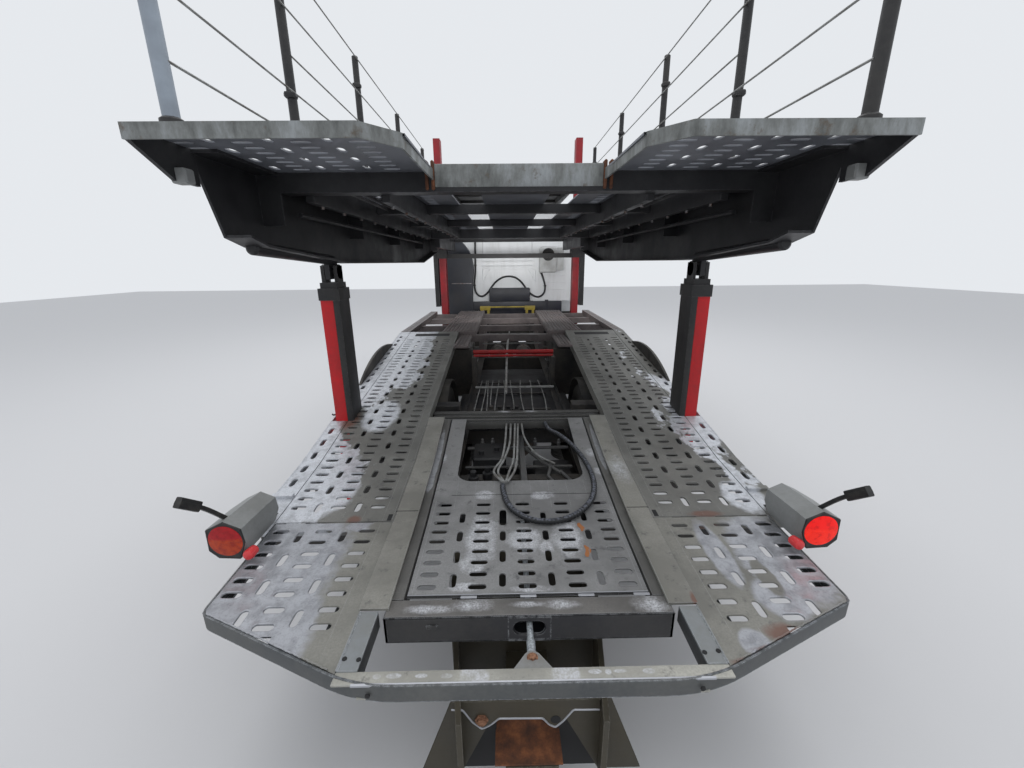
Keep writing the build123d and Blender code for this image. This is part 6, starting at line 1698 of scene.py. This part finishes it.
# Cab's rear wall
# Stamped ribs in white sheet, a black air intake with a curved shoulder, a white cooler with a
# round fan and louvres, a black lower panel with a box, yellow brackets on two posts, and a
# hose that hangs in a W.
wall_y = at(6.7)
frame_outline = ring_of(rectangle((-0.458, 2.132), (0.412, 2.62)), 0.06, 6)


def wall_bead(outline, width, reach):
    """A raised bead along a closed outline on the rear wall: a low triangle in section."""
    middle = outline.mean(axis=0)
    return looped([upright(middle + (outline - middle) * (1 - steps * width / 0.8), y)
            for steps, y in ((0, wall_y + 0.001), (1, wall_y - reach), (2, wall_y + 0.001))])


wall_ribs = [wall_bead(frame_outline, 0.022, 0.012),
    wall_bead(ring_of([(-0.47, 1.7), (-0.35, 1.935), (0.34, 1.935), (0.47, 1.7), (0.47, 1.92),
                (0.36, 1.955), (-0.4, 1.955), (-0.47, 1.93)], 0.02, 4), 0.01, 0.008)]
for height in (2.075, 1.992):
    wall_ribs.append(beam((-0.478, wall_y - 0.012, height - 0.012), (0.412, wall_y + 0.002, height + 0.012),
            0.007))
for height in (2.152, 2.067, 1.952, 1.824, 1.7, 1.58):
    wall_ribs.append(beam((0.63, wall_y - 0.008, height - 0.007), (1.0, wall_y + 0.002, height + 0.007),
            0.004))
piece("wall_ribs", wall_ribs, cab_white)

intake_outline = ring_of([(-1.2, 1.11), (-0.645, 1.11), (-0.64, 1.69), (-0.608, 1.93), (-0.645, 2.18),
        (-0.73, 2.31), (-0.83, 2.42), (-0.96, 2.54), (-1.2, 2.598)], 0.09, 5)
intake_middle = intake_outline.mean(axis=0)
intake_rings = [upright(flat, at(s))
    for flat, s in ((intake_outline, 6.698), (intake_outline, 6.575),
        (intake_middle + (intake_outline - intake_middle) * 0.975, 6.562))]
intake_finish = steel_paint("intake_finish", (0.037, 0.042, 0.053), (0.055, 0.056, 0.06), (0.1, 0.1, 0.1),
    0.4)
made = piece("air_intake.duct", [tube(np.stack(intake_rings))], intake_finish)
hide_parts("air_intake")
intake_joint = bar((-1.0, 6.5585, 1.692), (-0.642, 6.5635, 1.703), 0.001)
piece("intake_joint", [intake_joint], nut_metal)

cooler_white = clouded("cooler_white", 0.12, [(0.35, (0.6, 0.62, 0.62)), (0.75, (0.42, 0.42, 0.4))],
    detail=6, Roughness=0.45)
cooler_shells = [bar((0.522, 6.566, 1.864), (0.82, 6.7, 2.288), 0.022),
    bar((0.815, 6.62, 1.9), (0.948, 6.7, 2.28), 0.01)]
louvres = [bar((0.59, 6.56, 1.95 + 0.019 * k), (0.775, 6.57, 1.961 + 0.019 * k), 0.003) for k in range(6)]
made = piece("cooler_box.case", [*cooler_shells, *louvres], cooler_white)
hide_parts("cooler_box")
fan_place = (0.671, at(6.566), 2.168)
fan_shells = [turned([(0, 0.104), (0.003, 0.104)], fan_place, (0, -1, 0), 32)]
fan_shells += [turned([(0.003, r - 0.0035), (0.003, r + 0.0035), (0.008, r + 0.002), (0.008, r - 0.002)],
        fan_place, (0, -1, 0), 32, True) for r in (0.03, 0.055, 0.08, 0.101)]
piece("cooler_fan", fan_shells, black_plastic)

lower_black = steel_paint("lower_black", (0.023, 0.025, 0.036), (0.04, 0.04, 0.042), (0.12, 0.12, 0.12),
    0.6)
lower_panel = [bar((-0.98, 6.64, 1.16), (0.93, 6.668, 1.378), 0.004),
    bar((-0.355, 6.6, 1.38), (0.362, 6.699, 1.612), 0.012)]
lower_panel += [bar((x - 0.03, 6.635, 1.15), (x + 0.03, 6.668, 1.4), 0.004) for x in (-0.7, 0.66)]
piece("lower_panel", lower_panel, lower_black)
yellow_paint = steel_paint("yellow_paint", (0.42, 0.32, 0.03), (0.2, 0.15, 0.04), (0.12, 0.08, 0.05), 0.7)
yellow_shells = []
for middle in (-0.422, 0.35):
    yellow_shells += [bar((middle - 0.09, 6.402, 1.25), (middle + 0.09, 6.42, 1.322), 0.004),
        bar((middle - 0.075, 6.4, 1.17), (middle - 0.032, 6.425, 1.255), 0.004),
        bar((middle + 0.032, 6.4, 1.17), (middle + 0.075, 6.425, 1.255), 0.004)]
yellow_shells.append(bar((-0.34, 6.404, 1.292), (0.27, 6.422, 1.316), 0.004))
piece("hitch_brackets", yellow_shells, yellow_paint)
bracket_posts = [bar((x - 0.03, 6.405, 0.848), (x + 0.03, 6.46, 1.18), 0.004) for x in (-0.385, 0.385)]
bracket_posts.append(bar((-0.52, 6.41, 1.16), (0.52, 6.46, 1.18), 0.004))
piece("hitch_posts", bracket_posts, frame_paint)

w_hose_diameter = 0.032
w_hose_points = [(-0.575, 2.56), (-0.578, 2.373), (-0.584, 2.13), (-0.59, 1.894), (-0.612, 1.68),
    (-0.585, 1.53), (-0.49, 1.468), (-0.385, 1.53), (-0.262, 1.69), (-0.14, 1.78), (-0.02, 1.808),
    (0.11, 1.785), (0.215, 1.705), (0.315, 1.575), (0.415, 1.48), (0.52, 1.45), (0.612, 1.515),
    (0.63, 1.64), (0.6, 1.76), (0.562, 1.862)]
w_hose = pipe(w_hose_diameter / 2, 12, threaded([(x, at(6.672), z) for x, z in w_hose_points], 150),
    up=(0, 1, 0))
hose_black = new_finish("hose_black", Roughness=0.55, Base_Color=(0.018, 0.018, 0.02, 1))[0]
piece("wall_hose", [w_hose], hose_black)
hose_clips = [bar((x - 0.022, 6.65, z - 0.01), (x + 0.022, 6.7, z + 0.01), 0.004)
    for x, z in ((-0.587, 2.0), (-0.612, 1.66), (-0.02, 1.808), (0.63, 1.64), (0.562, 1.86))]
piece("wall_hose_clips", hose_clips, black_plastic)

# Studio
# A pale floor that keeps the truck's shadow, an even pale sky, one wide soft light overhead,
# a small one towards the cab's rear wall under the deck, and a camera behind the tail at
# standing height, wide-angled as in the photo.
eye = (-0.07, -5.634, 2.05)
lens_focus = 420.0
frame_width = 1024.0
sensor_width = 36.0
eye_right = (0.99983, -0.016, -0.00905)
eye_up = (0.01316, 0.27891, 0.96023)
eye_back = (-0.01284, -0.96018, 0.27907)
floor_reach = 30.0

camera = bpy.data.cameras.new("eye")
camera.sensor_width = sensor_width
camera.lens = lens_focus / frame_width * sensor_width
viewer = bpy.data.objects.new("eye", camera)
viewer.matrix_world = Matrix([(*row, place) for row, place in zip(zip(eye_right, eye_up, eye_back), eye)]
    + [(0, 0, 0, 1)])
bpy.context.scene.collection.objects.link(viewer)
bpy.context.scene.camera = viewer

floor_finish = new_finish("floor", Roughness=0.9, Base_Color=(0.6, 0.6, 0.61, 1))[0]
floor_mesh = bpy.data.meshes.new("floor")
corners = np.array([(-1, -1), (1, -1), (1, 1), (-1, 1)]) * floor_reach
floor_mesh.from_pydata([(x, y, 0) for x, y in corners.tolist()], [], [(0, 1, 2, 3)])
floor_mesh.materials.append(floor_finish)
floor = bpy.data.objects.new("floor", floor_mesh)
bpy.context.scene.collection.objects.link(floor)

sky = bpy.data.worlds.new("sky")
sky.use_nodes = True
sky.node_tree.nodes["Background"].inputs["Color"].default_value = (0.93, 0.96, 1.0, 1)
sky.node_tree.nodes["Background"].inputs["Strength"].default_value = 0.85
bpy.context.scene.world = sky


def soft_panel(name, width, depth, watts, place):
    """A rectangular soft light that faces down."""
    light = bpy.data.lights.new(name, "AREA")
    light.shape = "RECTANGLE"
    light.size, light.size_y = width, depth
    light.energy = watts
    made = bpy.data.objects.new(name, light)
    made.location = place
    bpy.context.scene.collection.objects.link(made)
    return made


soft_panel("overhead", 9.0, 14.0, 500, (0, 0, 9.0))
wall_fill = soft_panel("wall_fill", 1.4, 0.3, 15, (0, at(4.5), 1.95))
wall_fill.rotation_euler = (math.radians(90), 0, 0)
wall_fill.visible_camera = False

bpy.context.scene.view_settings.view_transform = "Standard"
